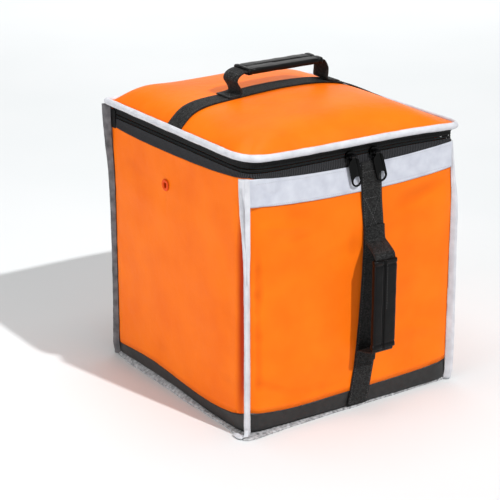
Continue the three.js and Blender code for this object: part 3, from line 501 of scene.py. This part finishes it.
def rowsAlong(node, along, across):
    # the node's rows along an axis, in millimetres: place, lowest and highest across.
    # Rows much narrower than the widest are its rounded ends, and are left out
    rows = {}
    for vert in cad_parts[node].data.vertices:
        rows.setdefault(round(getattr(vert.co, along) / mm, 1), []).append(getattr(vert.co, across) / mm)
    widest = max(max(sides) - min(sides) for sides in rows.values())
    return sorted((place, min(sides), max(sides)) for place, sides in rows.items()
                  if max(sides) - min(sides) > 0.8 * widest)


def edgeLine(rows, side, inset, start, end, steps=40):
    # a line beside one edge of a strap: (along, across) pairs
    places = [row[0] for row in rows]
    edge = [row[1] + inset if side < 0 else row[2] - inset for row in rows]
    return [(at, float(np.interp(at, places, edge))) for at in np.linspace(start, end, steps)]


# Walls

sideFrames = {
    "front": {"along": Vector((1, 0, 0)), "out": Vector((0, -1, 0)), "seed": 5},
    "right": {"along": Vector((0, 1, 0)), "out": Vector((1, 0, 0)), "seed": 5},
    "back": {"along": Vector((-1, 0, 0)), "out": Vector((0, 1, 0)), "seed": 4},
    "left": {"along": Vector((0, -1, 0)), "out": Vector((-1, 0, 0)), "seed": 4},
}

# The panels' cloth. Creases run between millimetres right of the side's middle and above the floor
panelCloth = {
    "levels": 3,
    "waveDepth": 1.5,
    "waveLength": 95,
    "waveHeight": 38,
    "waveFade": 20,
    "pucker": [{"depth": 0.55, "size": 13, "seed": 3.1}],
    "puckerLine": 5,
    "puckerReach": 16,
    "creaseFade": 12,
    "edgeFade": 3,
    "creases": {
        "front": [
            {"from": (-185, 335), "to": (-95, 318), "depth": 1.6, "width": 7},
            {"from": (-150, 300), "to": (-70, 308), "depth": -1.0, "width": 11},
            {"from": (60, 318), "to": (190, 352), "depth": -2.2, "width": 20},
            {"from": (-180, 350), "to": (-178, 60), "depth": -1.8, "width": 9},
            {"from": (60, 120), "to": (180, 96), "depth": 1.6, "width": 10},
            {"from": (-190, 90), "to": (-120, 60), "depth": -1.4, "width": 9},
            {"from": (-5, 330), "to": (-12, 70), "depth": -0.7, "width": 9},
        ],
        "left": [
            {"from": (-27, 332), "to": (-25, 296), "depth": -0.7, "width": 3},
            {"from": (-42, 357), "to": (-14, 358), "depth": 0.6, "width": 3},
            {"from": (-180, 120), "to": (-120, 60), "depth": -0.8, "width": 10},
            {"from": (181, 430), "to": (179, 15), "depth": -7.0, "width": 9},
            {"from": (60, 70), "to": (150, 52), "depth": 1.0, "width": 9},
        ],
        "right": [
            {"from": (-140, 320), "to": (120, 300), "depth": 1.0, "width": 12},
            {"from": (-120, 90), "to": (60, 120), "depth": -0.9, "width": 12},
        ],
        "back": [
            {"from": (-150, 380), "to": (150, 370), "depth": -0.8, "width": 9},
            {"from": (-120, 70), "to": (120, 60), "depth": 0.8, "width": 12},
        ],
    },
}


def creaseDepth(creases, along, height):
    total = 0.0
    here = Vector((along, height))
    for crease in creases:
        start, end = Vector(crease["from"]), Vector(crease["to"])
        run = end - start
        share = min(max((here - start).dot(run) / run.length_squared, 0), 1)
        taper = math.sin(math.pi * (0.1 + 0.8 * share))
        total += crease["depth"] * taper * bell((here - start - run * share).length, crease["width"])
    return total


def facingOut(normal, side):
    # 1 on the outer face of a side, 0 on its edges and its inner face
    return smoothStep((normal.dot(side["out"]) - 0.3) / 0.3)


def panelPiece(name):
    side, cloth = sideFrames[name], panelCloth
    low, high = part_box(name + "_panel")
    reach = max(abs(low.dot(side["along"])), abs(high.dot(side["along"])))
    bm = meshOf(name + "_panel")
    soften(bm, cloth["levels"])

    def depthAt(co, normal):
        facing = facingOut(normal, side)
        if facing == 0:
            return 0.0
        along = co.dot(side["along"])
        edge = min(reach - abs(along), high.z - co.z, co.z - low.z) / mm
        stretched = Vector((along / cloth["waveLength"], 0, co.z / cloth["waveHeight"]))
        depth = cloth["waveDepth"] * rough(stretched, 1, side["seed"]) * smoothStep(edge / cloth["waveFade"])
        depth += waveDepth(co, cloth["pucker"]) * bell(edge - cloth["puckerLine"], cloth["puckerReach"])
        creases = creaseDepth(cloth["creases"][name], along / mm, co.z / mm)
        depth += creases * smoothStep(edge / cloth["creaseFade"])
        return depth * facing * smoothStep(edge / cloth["edgeFade"])

    # painted shade: the material paints the cloth darker red by how deep each fold is
    folds = bm.verts.layers.float.new("fold")  # the material reads how deep each fold is
    for vert in bm.verts:
        vert[folds] = depthAt(vert.co, vert.normal)
        vert.co += side["out"] * (vert[folds] * mm)
    bm.normal_update()
    return addPiece(name + "Panel", bm, "orange", [name + "_panel"])


stripCloth = {
    "levels": 3,
    "sunk": 0.35,
    "waves": [{"depth": 0.6, "size": 34, "seed": 5.0}, {"depth": 0.35, "size": 12, "seed": 1.0}],
}


def stripPiece(name):
    side = sideFrames[name]
    bm = meshOf(name + "_strip")
    soften(bm, stripCloth["levels"])

    def wrinkle(co, normal):
        depth = waveDepth(co, stripCloth["waves"]) - stripCloth["sunk"]
        return side["out"] * (depth * facingOut(normal, side) * mm)

    shift(bm, wrinkle)
    return addPiece(name + "Strip", bm, "black", [name + "_strip"])


# The light band, and how far its ends and upper edge are tucked under what covers them
bandCloth = {
    "levels": 3,
    "creases": [
        {"from": (-176, 398), "to": (-150, 372), "depth": -1.3, "width": 4},
        {"from": (-180, 376), "to": (-140, 384), "depth": -1.2, "width": 3.5},
        {"from": (-150, 402), "to": (-110, 380), "depth": 0.8, "width": 6},
        {"from": (60, 398), "to": (120, 372), "depth": -0.7, "width": 6},
    ],
    "waves": [{"depth": 0.5, "size": 26, "seed": 2.0}],
    "proud": 0.3,
    "tuck": {
        "left": {"by": 11, "from": 168, "over": 12},
        "right": {"by": 2.5, "from": 178, "over": 6},
        "up": {"by": 1.8, "from": 390, "over": 8},
    },
}


def bandPiece():
    bm = meshOf("reflective_band")
    soften(bm, bandCloth["levels"])

    def tuckUnder(co, normal):
        places = {"left": -co.x / mm, "right": co.x / mm, "up": co.z / mm}
        moved = {way: tuck["by"] * smoothStep((places[way] - tuck["from"]) / tuck["over"])
                 for way, tuck in bandCloth["tuck"].items()}
        return Vector((moved["right"] - moved["left"], 0, moved["up"])) * mm

    def wrinkle(co, normal):
        if normal.y > -0.3:
            return Vector()
        depth = creaseDepth(bandCloth["creases"], co.x / mm, co.z / mm) + waveDepth(co, bandCloth["waves"])
        return Vector((0, -(depth + bandCloth["proud"]) * mm, 0))

    shift(bm, tuckUnder)
    shift(bm, wrinkle)
    return addPiece("reflectiveBand", bm, "band", ["reflective_band"])


for sideName in sideFrames:
    panelPiece(sideName)
for sideName in sideFrames:
    stripPiece(sideName)
clothPiece("base_panel", "basePanel", "black", "black_cloth", sharpAngle=50)
band = bandPiece()
clothPiece("eyelet", "ventEyelet", "enamel", "orange_enamel", crease=0.6)
print("walls made")


# Lid

lidCloth = {
    "levels": 3,
    "joinAngle": 179,
    "waves": [{"depth": 1.0, "size": 80, "seed": 7.0}],
    "waveFade": 30,
    "pucker": [{"depth": 0.5, "size": 12, "seed": 4.0}],
    "puckerLine": 4,
    "puckerReach": 12,
    "edgeFade": 3,
}


def lidPiece():
    low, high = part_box("lid_panel")
    bm = meshOf("lid_panel", lidCloth["joinAngle"])
    soften(bm, lidCloth["levels"])

    def wrinkle(co, normal):
        if normal.z < 0.2:
            return Vector()
        edge = min(high.x - abs(co.x), high.y - abs(co.y)) / mm
        depth = waveDepth(co, lidCloth["waves"]) * smoothStep(edge / lidCloth["waveFade"])
        pucker = bell(edge - lidCloth["puckerLine"], lidCloth["puckerReach"])
        depth += waveDepth(co, lidCloth["pucker"]) * pucker
        return Vector((0, 0, depth * smoothStep(edge / lidCloth["edgeFade"]) * mm))

    shift(bm, wrinkle)
    return addPiece("lidPanel", bm, "orange", ["lid_panel"])


lidPiece()


# Bindings

# Slow waves and small gathers of the tape, and how far it swells round the lid
bindingTape = {
    "levels": 3,
    "waves": [{"depth": 0.45, "size": 28, "seed": 9.0}, {"depth": 0.25, "size": 7, "seed": 2.0}],
    "lidSwell": 0.9,
}


def tapeWaves(co, normal, scale=1.0):
    return normal * (waveDepth(co, bindingTape["waves"]) * scale * mm)


# The front left binding splits into two lobes at its top: the fold between them
lobeFold = {
    "foot": 285,
    "top": 408,
    "side": 2.5,
    "width": 1.4,
    "depth": 1.1,
    "swell": 1.2,
    "lean": 5.0,
    "leanBase": 1.0,
}

# The corners' bindings end on the floor, tucked in under the bag's foot
cornerFoot = {"start": 22, "run": 14, "drop": 6.3, "tuck": 2.5}


def cornerPiece(node, name, look="binding", split=False):
    bm = meshOf(node)
    soften(bm, bindingTape["levels"], 70)
    shift(bm, tapeWaves)
    low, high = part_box(node)
    middle = (low + high) / 2
    outward = Vector((middle.x, middle.y, 0)).normalized()
    sideways = Vector((-outward.y, outward.x, 0))

    def foldLobes(co, normal):
        share = smoothStep((co.z / mm - lobeFold["foot"]) / (lobeFold["top"] - lobeFold["foot"]))
        across = (co - middle).dot(sideways) / mm
        front = smoothStep(normal.dot(outward) * 2)
        hollow = lobeFold["depth"] * bell(across - lobeFold["side"] * share, lobeFold["width"])
        lean = sideways * (lobeFold["lean"] * share + lobeFold["leanBase"])
        return (outward * ((lobeFold["swell"] * share - hollow * share) * front) - lean) * mm

    def tuckFoot(co, normal):
        share = smoothStep((cornerFoot["start"] - co.z / mm) / cornerFoot["run"])
        return (outward * -cornerFoot["tuck"] - Vector((0, 0, cornerFoot["drop"]))) * (share * mm)

    if split:
        shift(bm, foldLobes)
    shift(bm, tuckFoot)
    return addPiece(name, bm, look, [node])


def lidBindingPiece():
    bm = meshOf("lid_binding")
    soften(bm, bindingTape["levels"], 80)
    shift(bm, lambda co, normal: normal * (bindingTape["lidSwell"] * mm) + tapeWaves(co, normal))
    return addPiece("lidBinding", bm, "binding", ["lid_binding"])


# The base's binding: ribs across the tape, and the ragged lap where two lengths meet
baseTape = {
    "step": 4.0,
    "spacing": 7.0,
    "depth": 0.9,
    "wander": [{"depth": 3, "size": 25, "seed": 8.0}],
    "strength": [{"depth": 0.8, "size": 40, "seed": 4.0}],
    "leastStrength": 0.6,
    "waves": [{"depth": 1.1, "size": 30, "seed": 6.0}],
    "waveScale": 1.2,
    "upShare": 0.4,
    "lap": (-62, -4),
    "lapRise": 1.1,
    "lapRun": 2,
    "flatFoot": 0.4,
    "clearance": 0.1,
}


def baseBindingPiece():
    bm = meshOf("base_binding")
    low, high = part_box("base_binding")
    for direction in (Vector((1, 0, 0)), Vector((0, 1, 0))):
        start, end = low.dot(direction), high.dot(direction)
        count = int((end - start) / (baseTape["step"] * mm))
        cutLoops(bm, direction, evenPlaces(start, end, count))
    soften(bm, 1, 60, 0.5)

    def gather(co, normal):
        if co.z < baseTape["flatFoot"] * mm:
            return Vector()
        onSide = abs(co.x) > abs(co.y)
        along = (co.y if onSide else co.x) / mm
        phase = 2 * math.pi * along / baseTape["spacing"] + waveDepth(co, baseTape["wander"])
        strength = baseTape["leastStrength"] + waveDepth(co, baseTape["strength"])
        depth = baseTape["depth"] * math.sin(phase) * strength + waveDepth(co, baseTape["waves"])
        if onSide and co.x < 0:
            first, last = baseTape["lap"]
            lapped = smoothStep((along - first) / baseTape["lapRun"])
            depth += baseTape["lapRise"] * lapped * smoothStep((last - along) / baseTape["lapRun"])
        move = Vector((normal.x, normal.y, baseTape["upShare"] * normal.z)) * (depth * mm)
        move += tapeWaves(co, normal, baseTape["waveScale"])
        move.z = max(move.z, baseTape["clearance"] * mm - co.z)  # the tape stays off the floor
        return move

    shift(bm, gather)
    # the binding takes the copy painted darker for shade, with real scuffs
    return addPiece("baseBinding", bm, "scuffedShadedBinding", ["base_binding"])


# Tape sewn flat beside the front left seam, from the zip down to where it runs out
welt = {
    "points": [(-198.7, -197.4, 413), (-198.7, -198.9, 372), (-199, -199.9, 330), (-198.6, -200.8, 296),
               (-200, -202.6, 250)],
    "sides": [(0.94, -0.34, 0)] * 5,
    "widths": [8.5, 8.5, 8, 6.5, 2.5],
    "thickness": 1.6,
}

# The front left binding's loose end, folded back along the base's binding
looseEnd = {
    "points": [(-203.5, -205, 17), (-206, -206, 8), (-210, -201, 5.5), (-212, -191, 5),
               (-212, -182, 4.5)],
    "sides": [(0.7, -0.7, 0), (0.75, -0.6, 0.2), (0.77, -0.2, 0.5), (0.77, 0, 0.64), (0.77, 0, 0.64)],
    "widths": [6, 7, 8, 8, 5],
    "thickness": 1.6,
    "waves": [{"depth": 0.5, "size": 5, "seed": 3.0}],
}


def looseTapePiece(strip, name):
    bm = tapeAlong(strip["points"], strip["sides"], strip["widths"], strip["thickness"])
    shift(bm, lambda co, normal: normal * (waveDepth(co, strip.get("waves", ())) * mm))
    return addPiece(name, bm, "binding")


cornerPiece("front_left_binding", "frontLeftBinding", split=True)
cornerPiece("front_right_binding", "frontRightBinding")
# the back left binding takes the copy painted darker for shade
cornerPiece("back_left_binding", "backLeftBinding", "shadedBinding")
cornerPiece("back_right_binding", "backRightBinding")
lidBindingPiece()
baseBinding = baseBindingPiece()
looseTapePiece(welt, "frontLeftWelt")
looseTapePiece(looseEnd, "frontLeftLooseEnd")
print("lid and bindings made")


# Zip

zipTapeWaves = [{"depth": 0.35, "size": 16, "seed": 1.0}]

# Tab of cloth over the tapes' ends beside each back corner
zipEndTab = {"x": 196.5, "y": 191, "foot": 399, "top": 430, "points": 5, "width": 14, "thickness": 1.6}


def zipEndPiece(name, end):
    points = [(zipEndTab["x"] * end, zipEndTab["y"], z)
              for z in np.linspace(zipEndTab["foot"], zipEndTab["top"], zipEndTab["points"])]
    bm = tapeAlong(points, [(0, -end, 0)] * len(points), [zipEndTab["width"]] * len(points),
                   zipEndTab["thickness"])
    # the tabs take the zip tape copy painted darker for shade
    return addPiece(name, bm, "shadedInnerTape")


coil = {
    "pitch": 2.2,
    "thickness": 1.35,
    "depth": 3.1,
    "height": 3.6,
    "meet": 1.35,
    "coreSunk": 0.9,
    "leastHeight": 5,  # the node's columns shorter than this are its rounded edges
}


def zipLine():
    # the middle line of the coil, from the back of the left side round the front
    columns = {}
    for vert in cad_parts["zip_coil"].data.vertices:
        columns.setdefault((round(vert.co.x, 5), round(vert.co.y, 5)), []).append(vert.co.z)
    tall = [(x, y, (max(heights) + min(heights)) / 2) for (x, y), heights in columns.items()
            if max(heights) - min(heights) > coil["leastHeight"] * mm]
    return [Vector(point) for point in sorted(tall, key=lambda p: math.atan2(p[0], -p[1]))]


def coilPiece():
    bm = meshOf("zip_coil")
    shift(bm, lambda co, normal: normal * (-coil["coreSunk"] * mm))
    sizes = (coil["thickness"], coil["depth"], coil["height"])
    for index, (place, direction) in enumerate(walk(zipLine(), coil["pitch"] * mm / 2)):
        row = 1 if index % 2 else -1
        middle = place + Vector((0, 0, row * coil["meet"] * mm))
        bmesh.ops.create_icosphere(bm, subdivisions=1, radius=1,
                                   matrix=placing(middle, direction, Vector((0, 0, 1)), sizes))
    return addPiece("zipCoil", bm, "coil", ["zip_coil"])


# The pullers' ring holes: their middles across and up, and how much wider wear has made them
ringHoles = {"puller_left": (-3.7, 377.5), "puller_right": (44.0, 378.2)}
ringHole = {"radius": 6, "margin": 1, "wider": 0.9}
metalEdges = {"segments": 3, "angle": 40}


def metalPiece(node, name, body, bevel):
    bm = meshOf(node)
    if node in ringHoles:
        across, up = ringHoles[node]
        middle = Vector((across, 0, up)) * mm
        for vert in bm.verts:
            away = Vector((vert.co.x - middle.x, 0, vert.co.z - middle.z))
            if away.length < (ringHole["radius"] + ringHole["margin"]) * mm:
                vert.co += away.normalized() * ringHole["wider"] * mm
    piece = addPiece(name, bm, "metal", [node], body, metalEdges["angle"])
    modifier = piece.modifiers.new("Bevel", "BEVEL")
    modifier.width = bevel * mm
    modifier.segments = metalEdges["segments"]
    modifier.limit_method = "ANGLE"
    modifier.angle_limit = math.radians(metalEdges["angle"])
    modifier.harden_normals = True
    return piece


clothPiece("zip_lower_tape", "zipLowerTape", "zipTape", "zip_tape", waves=zipTapeWaves)
# the upper tape takes the copy painted darker for the shade under the lid's binding
clothPiece("zip_upper_tape", "zipUpperTape", "shadedInnerTape", "zip_tape", waves=zipTapeWaves)
zipEndPiece("leftZipEnd", -1)
zipEndPiece("rightZipEnd", 1)
coilPiece()
for hand in ("left", "right"):
    metalPiece("slider_" + hand, hand + "Slider", "bag", bevel=0.9)
    metalPiece("puller_" + hand, hand + "Puller", "puller_" + hand, bevel=0.4)
print("zip made")


# Webbing and grips

webbingWaves = [{"depth": 0.25, "size": 20, "seed": 8.0}]

gripWrap = {
    "spacing": 3,
    "hem": 7,
    "hemRun": 1.5,
    "hemRise": 0.5,
    "groove": 7.5,
    "grooveWidth": 1.5,
    "grooveDepth": 0.7,
    "waves": [{"depth": 0.5, "size": 18, "seed": 1.5}],
}

# The front grip's slit, where the two edges of the wrap meet
gripSlit = {"place": 20.9, "width": 1.2, "depth": 2.4, "cuts": (-4.5, -2.6, -1.3, -0.5, 0.5, 1.3, 2.6, 4.5)}


def gripPiece(node, name, direction, slit=None):
    low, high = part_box(node)
    start, end = low.dot(direction), high.dot(direction)
    bm = meshOf(node)
    count = round((end - start) / (gripWrap["spacing"] * mm))
    cutLoops(bm, direction, evenPlaces(start, end, count))
    if slit:
        cutLoops(bm, Vector((1, 0, 0)), [(slit["place"] + cut) * mm for cut in slit["cuts"]])
    soften(bm, 1, 45, 0.8)

    def fold(co, normal):
        fromEnd = min(co.dot(direction) - start, end - co.dot(direction)) / mm
        depth = gripWrap["hemRise"] * smoothStep((gripWrap["hem"] - fromEnd) / gripWrap["hemRun"])
        depth -= gripWrap["grooveDepth"] * bell(fromEnd - gripWrap["groove"], gripWrap["grooveWidth"])
        depth += waveDepth(co, gripWrap["waves"])
        if slit:
            middle = bell(co.x / mm - slit["place"], slit["width"])
            depth -= slit["depth"] * middle * smoothStep(-2 * normal.y)
        return normal * (depth * mm)

    shift(bm, fold)
    return addPiece(name, bm, "wrap", [node])


webbing = {name: clothPiece(node, name, "webbing", "black_webbing", waves=webbingWaves)
           for node, name in (("lid_strap", "lidStrap"), ("front_strap", "frontStrap"),
                              ("top_handle", "topHandle"), ("front_handle", "frontHandle"))}
topGrip = gripPiece("top_grip", "topGrip", Vector((1, 0, 0)))
frontGrip = gripPiece("front_grip", "frontGrip", Vector((0, 0, 1)), slit=gripSlit)


# Shoulder straps, and the webbing sewn over both edges of each

shoulderPadding = {"levels": 3, "sharpAngle": 80, "waves": [{"depth": 0.6, "size": 26, "seed": 4.0}]}

shoulderTrim = {"inset": 6.5, "width": 9, "thickness": 1.5, "lift": 1.2, "ends": 14, "points": 30,
                "steps": 60, "castY": 320}


def shoulderPiece(node, name):
    piece = clothPiece(node, name, "mesh", "padded_strap", **shoulderPadding)
    return piece


def shoulderTrimPiece():
    bm = bmesh.new()
    for hand, piece in shoulders.items():
        skin = skinOf(piece)
        rows = rowsAlong(hand + "_shoulder_strap", "z", "x")
        start, end = rows[0][0] + shoulderTrim["ends"], rows[-1][0] - shoulderTrim["ends"]
        for side in (-1, 1):
            points = []
            for z, x in edgeLine(rows, side, shoulderTrim["inset"], start, end, shoulderTrim["points"]):
                above = Vector((x, shoulderTrim["castY"], z)) * mm
                hit, normal, _, _ = skin.ray_cast(above, Vector((0, -1, 0)))
                if hit is not None:
                    points.append(tuple(hit / mm + normal * shoulderTrim["lift"]))
            trim = tapeAlong(points, [(1, 0, 0)] * len(points), [shoulderTrim["width"]] * len(points),
                             shoulderTrim["thickness"], shoulderTrim["steps"])
            joined = bpy.data.meshes.new("trim")
            trim.to_mesh(joined)
            trim.free()
            bm.from_mesh(joined)
            bpy.data.meshes.remove(joined)
    return addPiece("shoulderTrim", bm, "webbing")


shoulders = {
    "left": shoulderPiece("left_shoulder_strap", "leftShoulderStrap"),
    "right": shoulderPiece("right_shoulder_strap", "rightShoulderStrap"),
}
print("webbing, grips and shoulder straps made")


# Stitches

# Each seam's rows, in millimetres: the lines lie outside the cloth and are cast inwards onto it
seams = {
    "base": {"reach": 190, "height": 8.2, "cast": 240, "pitch": 3.4, "slant": 1.0},
    "shoulder": {"inset": 5, "ends": 8, "cast": 262, "pitch": 4.6},
    "strap": {"edge": 3.0, "ends": 4, "inset": 5, "hem": 387, "boxTop": 345, "boxFoot": 283, "cast": -205,
              "boxPitch": 3.4},
    "band": {"inset": 3, "ends": 2, "beside": 1, "cast": -200, "pitch": 3.6},
    "handle": {"near": 3, "far": 20, "half": 15, "cast": 500, "pitch": 3.2},
    "lidStrap": {"half": 16, "ends": 3, "cast": 480, "pitch": 4.2},
    "frontGrip": {"beside": 4, "fromTop": 8, "pastMiddle": 10, "cast": -245, "pitch": 4.4},
    "topGrip": {"y": 4, "ends": 8, "cast": 520, "pitch": 4.4},
}
toBack, toFront, downwards = (0, 1, 0), (0, -1, 0), (0, 0, -1)


def boxOf(node):
    # the node's lowest and highest corners, in millimetres
    return [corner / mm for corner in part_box(node)]


def baseStitches():
    # slanted overlock stitches on the upper edge of the base's binding
    seam = seams["base"]
    skin, reach, height, cast = skinOf(baseBinding), seam["reach"], seam["height"], seam["cast"]
    bm = bmesh.new()
    for line, inwards in (([(-cast, reach, height), (-cast, -reach, height)], (1, 0, 0)),
                          ([(-reach, -cast, height), (reach, -cast, height)], toBack),
                          ([(cast, -reach, height), (cast, reach, height)], (-1, 0, 0)),
                          ([(reach, cast, height), (-reach, cast, height)], toFront)):
        sew(bm, skin, line, inwards, seam["pitch"], seam["slant"])
    return addPiece("baseBindingStitches", bm, "lightThread")


def shoulderStitches():
    # a row beside both edges of each shoulder strap
    seam = seams["shoulder"]
    bm = bmesh.new()
    for hand, piece in shoulders.items():
        rows = rowsAlong(hand + "_shoulder_strap", "z", "x")
        start, end = rows[0][0] + seam["ends"], rows[-1][0] - seam["ends"]
        for side in (-1, 1):
            line = [(x, seam["cast"], z) for z, x in edgeLine(rows, side, seam["inset"], start, end)]
            sew(bm, skinOf(piece), line, toFront, seam["pitch"])
    return addPiece("shoulderStitches", bm, "blackThread")


def strapStitches():
    # two rows on the front strap, its upper hem, and the crossed box that holds the handle
    seam = seams["strap"]
    skin = skinOf(webbing["frontStrap"])
    rows = rowsAlong("front_strap", "z", "x")
    start, end = rows[0][0] + seam["ends"], rows[-1][0] - seam["ends"]
    bm = bmesh.new()
    for side in (-1, 1):
        line = [(x, seam["cast"], z) for z, x in edgeLine(rows, side, seam["edge"], start, end)]
        sew(bm, skin, line, toBack)
    top, foot, hem = seam["boxTop"], seam["boxFoot"], seam["hem"]
    corner = {(side, z): (edgeLine(rows, side, seam["inset"], z, z, 1)[0][1], seam["cast"], z)
              for side in (-1, 1) for z in (foot, top, hem)}
    for first, last in (((-1, hem), (1, hem)), ((-1, top), (1, top)), ((-1, foot), (1, foot)),
                        ((-1, top), (1, foot)), ((1, top), (-1, foot))):
        sew(bm, skin, [corner[first], corner[last]], toBack, seam["boxPitch"])
    return addPiece("frontStrapStitches", bm, "blackThread")


def bandStitches():
    # rows along both hems of the light band, broken by the strap
    seam = seams["band"]
    skin = skinOf(band)
    low, high = boxOf("reflective_band")
    strapLow, strapHigh = boxOf("front_strap")
    rows = rowsAlong("reflective_band", "x", "z")
    bm = bmesh.new()
    for side in (-1, 1):
        for start, end in ((low.x + seam["ends"], strapLow.x - seam["beside"]),
                           (strapHigh.x + seam["beside"], high.x - seam["ends"])):
            line = [(x, seam["cast"], z) for x, z in edgeLine(rows, side, seam["inset"], start, end)]
            sew(bm, skin, line, toBack, seam["pitch"])
    return addPiece("bandStitches", bm, "lightThread")


def handleStitches():
    # crossed boxes on the lid handle's two feet
    seam = seams["handle"]
    skin, half, cast = skinOf(webbing["topHandle"]), seam["half"], seam["cast"]
    low, high = boxOf("top_handle")
    bm = bmesh.new()
    for start, turn in ((low.x, 1), (high.x, -1)):
        near, far = start + turn * seam["near"], start + turn * seam["far"]
        for first, last in (((near, -half), (near, half)), ((far, -half), (far, half)),
                            ((near, -half), (far, -half)), ((near, half), (far, half)),
                            ((near, -half), (far, half)), ((near, half), (far, -half))):
            sew(bm, skin, [(*first, cast), (*last, cast)], downwards, seam["pitch"])
    return addPiece("topHandleStitches", bm, "blackThread")


def lidStrapStitches():
    seam = seams["lidStrap"]
    skin = skinOf(webbing["lidStrap"])
    low, high = boxOf("lid_strap")
    bm = bmesh.new()
    for y in (-seam["half"], seam["half"]):
        line = [(low.x + seam["ends"], y, seam["cast"]), (high.x - seam["ends"], y, seam["cast"])]
        sew(bm, skin, line, downwards, seam["pitch"])
    return addPiece("lidStrapStitches", bm, "blackThread")


def gripStitches():
    # the row beside the front grip's slit, and a row along the lid's grip
    bm = bmesh.new()
    seam = seams["frontGrip"]
    low, high = boxOf("front_grip")
    x = gripSlit["place"] + seam["beside"]
    top, foot = high.z - seam["fromTop"], (low.z + high.z) / 2 - seam["pastMiddle"]
    sew(bm, skinOf(frontGrip), [(x, seam["cast"], top), (x, seam["cast"], foot)], toBack, seam["pitch"])
    seam = seams["topGrip"]
    low, high = boxOf("top_grip")
    line = [(low.x + seam["ends"], seam["y"], seam["cast"]), (high.x - seam["ends"], seam["y"], seam["cast"])]
    sew(bm, skinOf(topGrip), line, downwards, seam["pitch"])
    return addPiece("gripStitches", bm, "blackThread")


baseStitches()
shoulderTrimPiece()
shoulderStitches()
strapStitches()
bandStitches()
handleStitches()
lidStrapStitches()
gripStitches()
print("stitches made")


# Floor and light

# Places and sizes in metres, power in watts, the sun's disc in degrees
studio = {
    "floorSize": 30.0,
    "sunFrom": (0.225, -1.04, 1.02),
    "sunStrength": 2.75,
    "sunAngle": 1.4,
    "aim": (0, 0, 0.2),
    "softboxes": [
        {"name": "leftSoftbox", "place": (-2.3, -0.35, 0.7), "size": 1.5, "power": 26},
        {"name": "topSoftbox", "place": (0.0, 0.05, 1.75), "size": 0.9, "power": 9},
        {"name": "backSoftbox", "place": (1.5, 2.3, 1.3), "size": 2.6, "power": 14},
    ],
    "worldStrength": 0.35,
}


def backdropPaper():
    # white backdrop paper: pale, dull and even
    look = {"Roughness": 0.9, "Specular IOR Level": 0.1}
    material, tree, shader = startMaterial("whiteBackdropPaper", look)
    place = addNode(tree, "TexCoord").outputs["Object"]
    finishMaterial(tree, shader, mottle(tree, place, 600, "#dee1e2", "#e2e4e5"))
    return material


def makeFloor():
    bm = bmesh.new()
    bmesh.ops.create_grid(bm, x_segments=2, y_segments=2, size=studio["floorSize"] / 2)
    mesh = bpy.data.meshes.new("floor")
    bm.to_mesh(mesh)
    bm.free()
    mesh.materials.append(backdropPaper())
    floor = bpy.data.objects.new("floor", mesh)
    bpy.context.scene.collection.objects.link(floor)


def makeLights():
    sun = bpy.data.lights.new("key", "SUN")
    sun.energy = studio["sunStrength"]
    sun.angle = math.radians(studio["sunAngle"])
    key = bpy.data.objects.new("key", sun)
    key.rotation_euler = Vector(studio["sunFrom"]).to_track_quat("Z", "Y").to_euler()
    bpy.context.scene.collection.objects.link(key)
    for box in studio["softboxes"]:
        light = bpy.data.lights.new(box["name"], "AREA")
        light.size = box["size"]
        light.energy = box["power"]
        lamp = bpy.data.objects.new(box["name"], light)
        lamp.location = box["place"]
        aim = Vector(box["place"]) - Vector(studio["aim"])
        lamp.rotation_euler = aim.to_track_quat("Z", "Y").to_euler()
        bpy.context.scene.collection.objects.link(lamp)
    world = bpy.data.worlds.new("studio")
    world.use_nodes = True
    background = world.node_tree.nodes["Background"]
    background.inputs["Color"].default_value = (1, 1, 1, 1)
    background.inputs["Strength"].default_value = studio["worldStrength"]
    bpy.context.scene.world = world
    bpy.context.scene.view_settings.view_transform = "Standard"


makeFloor()
makeLights()
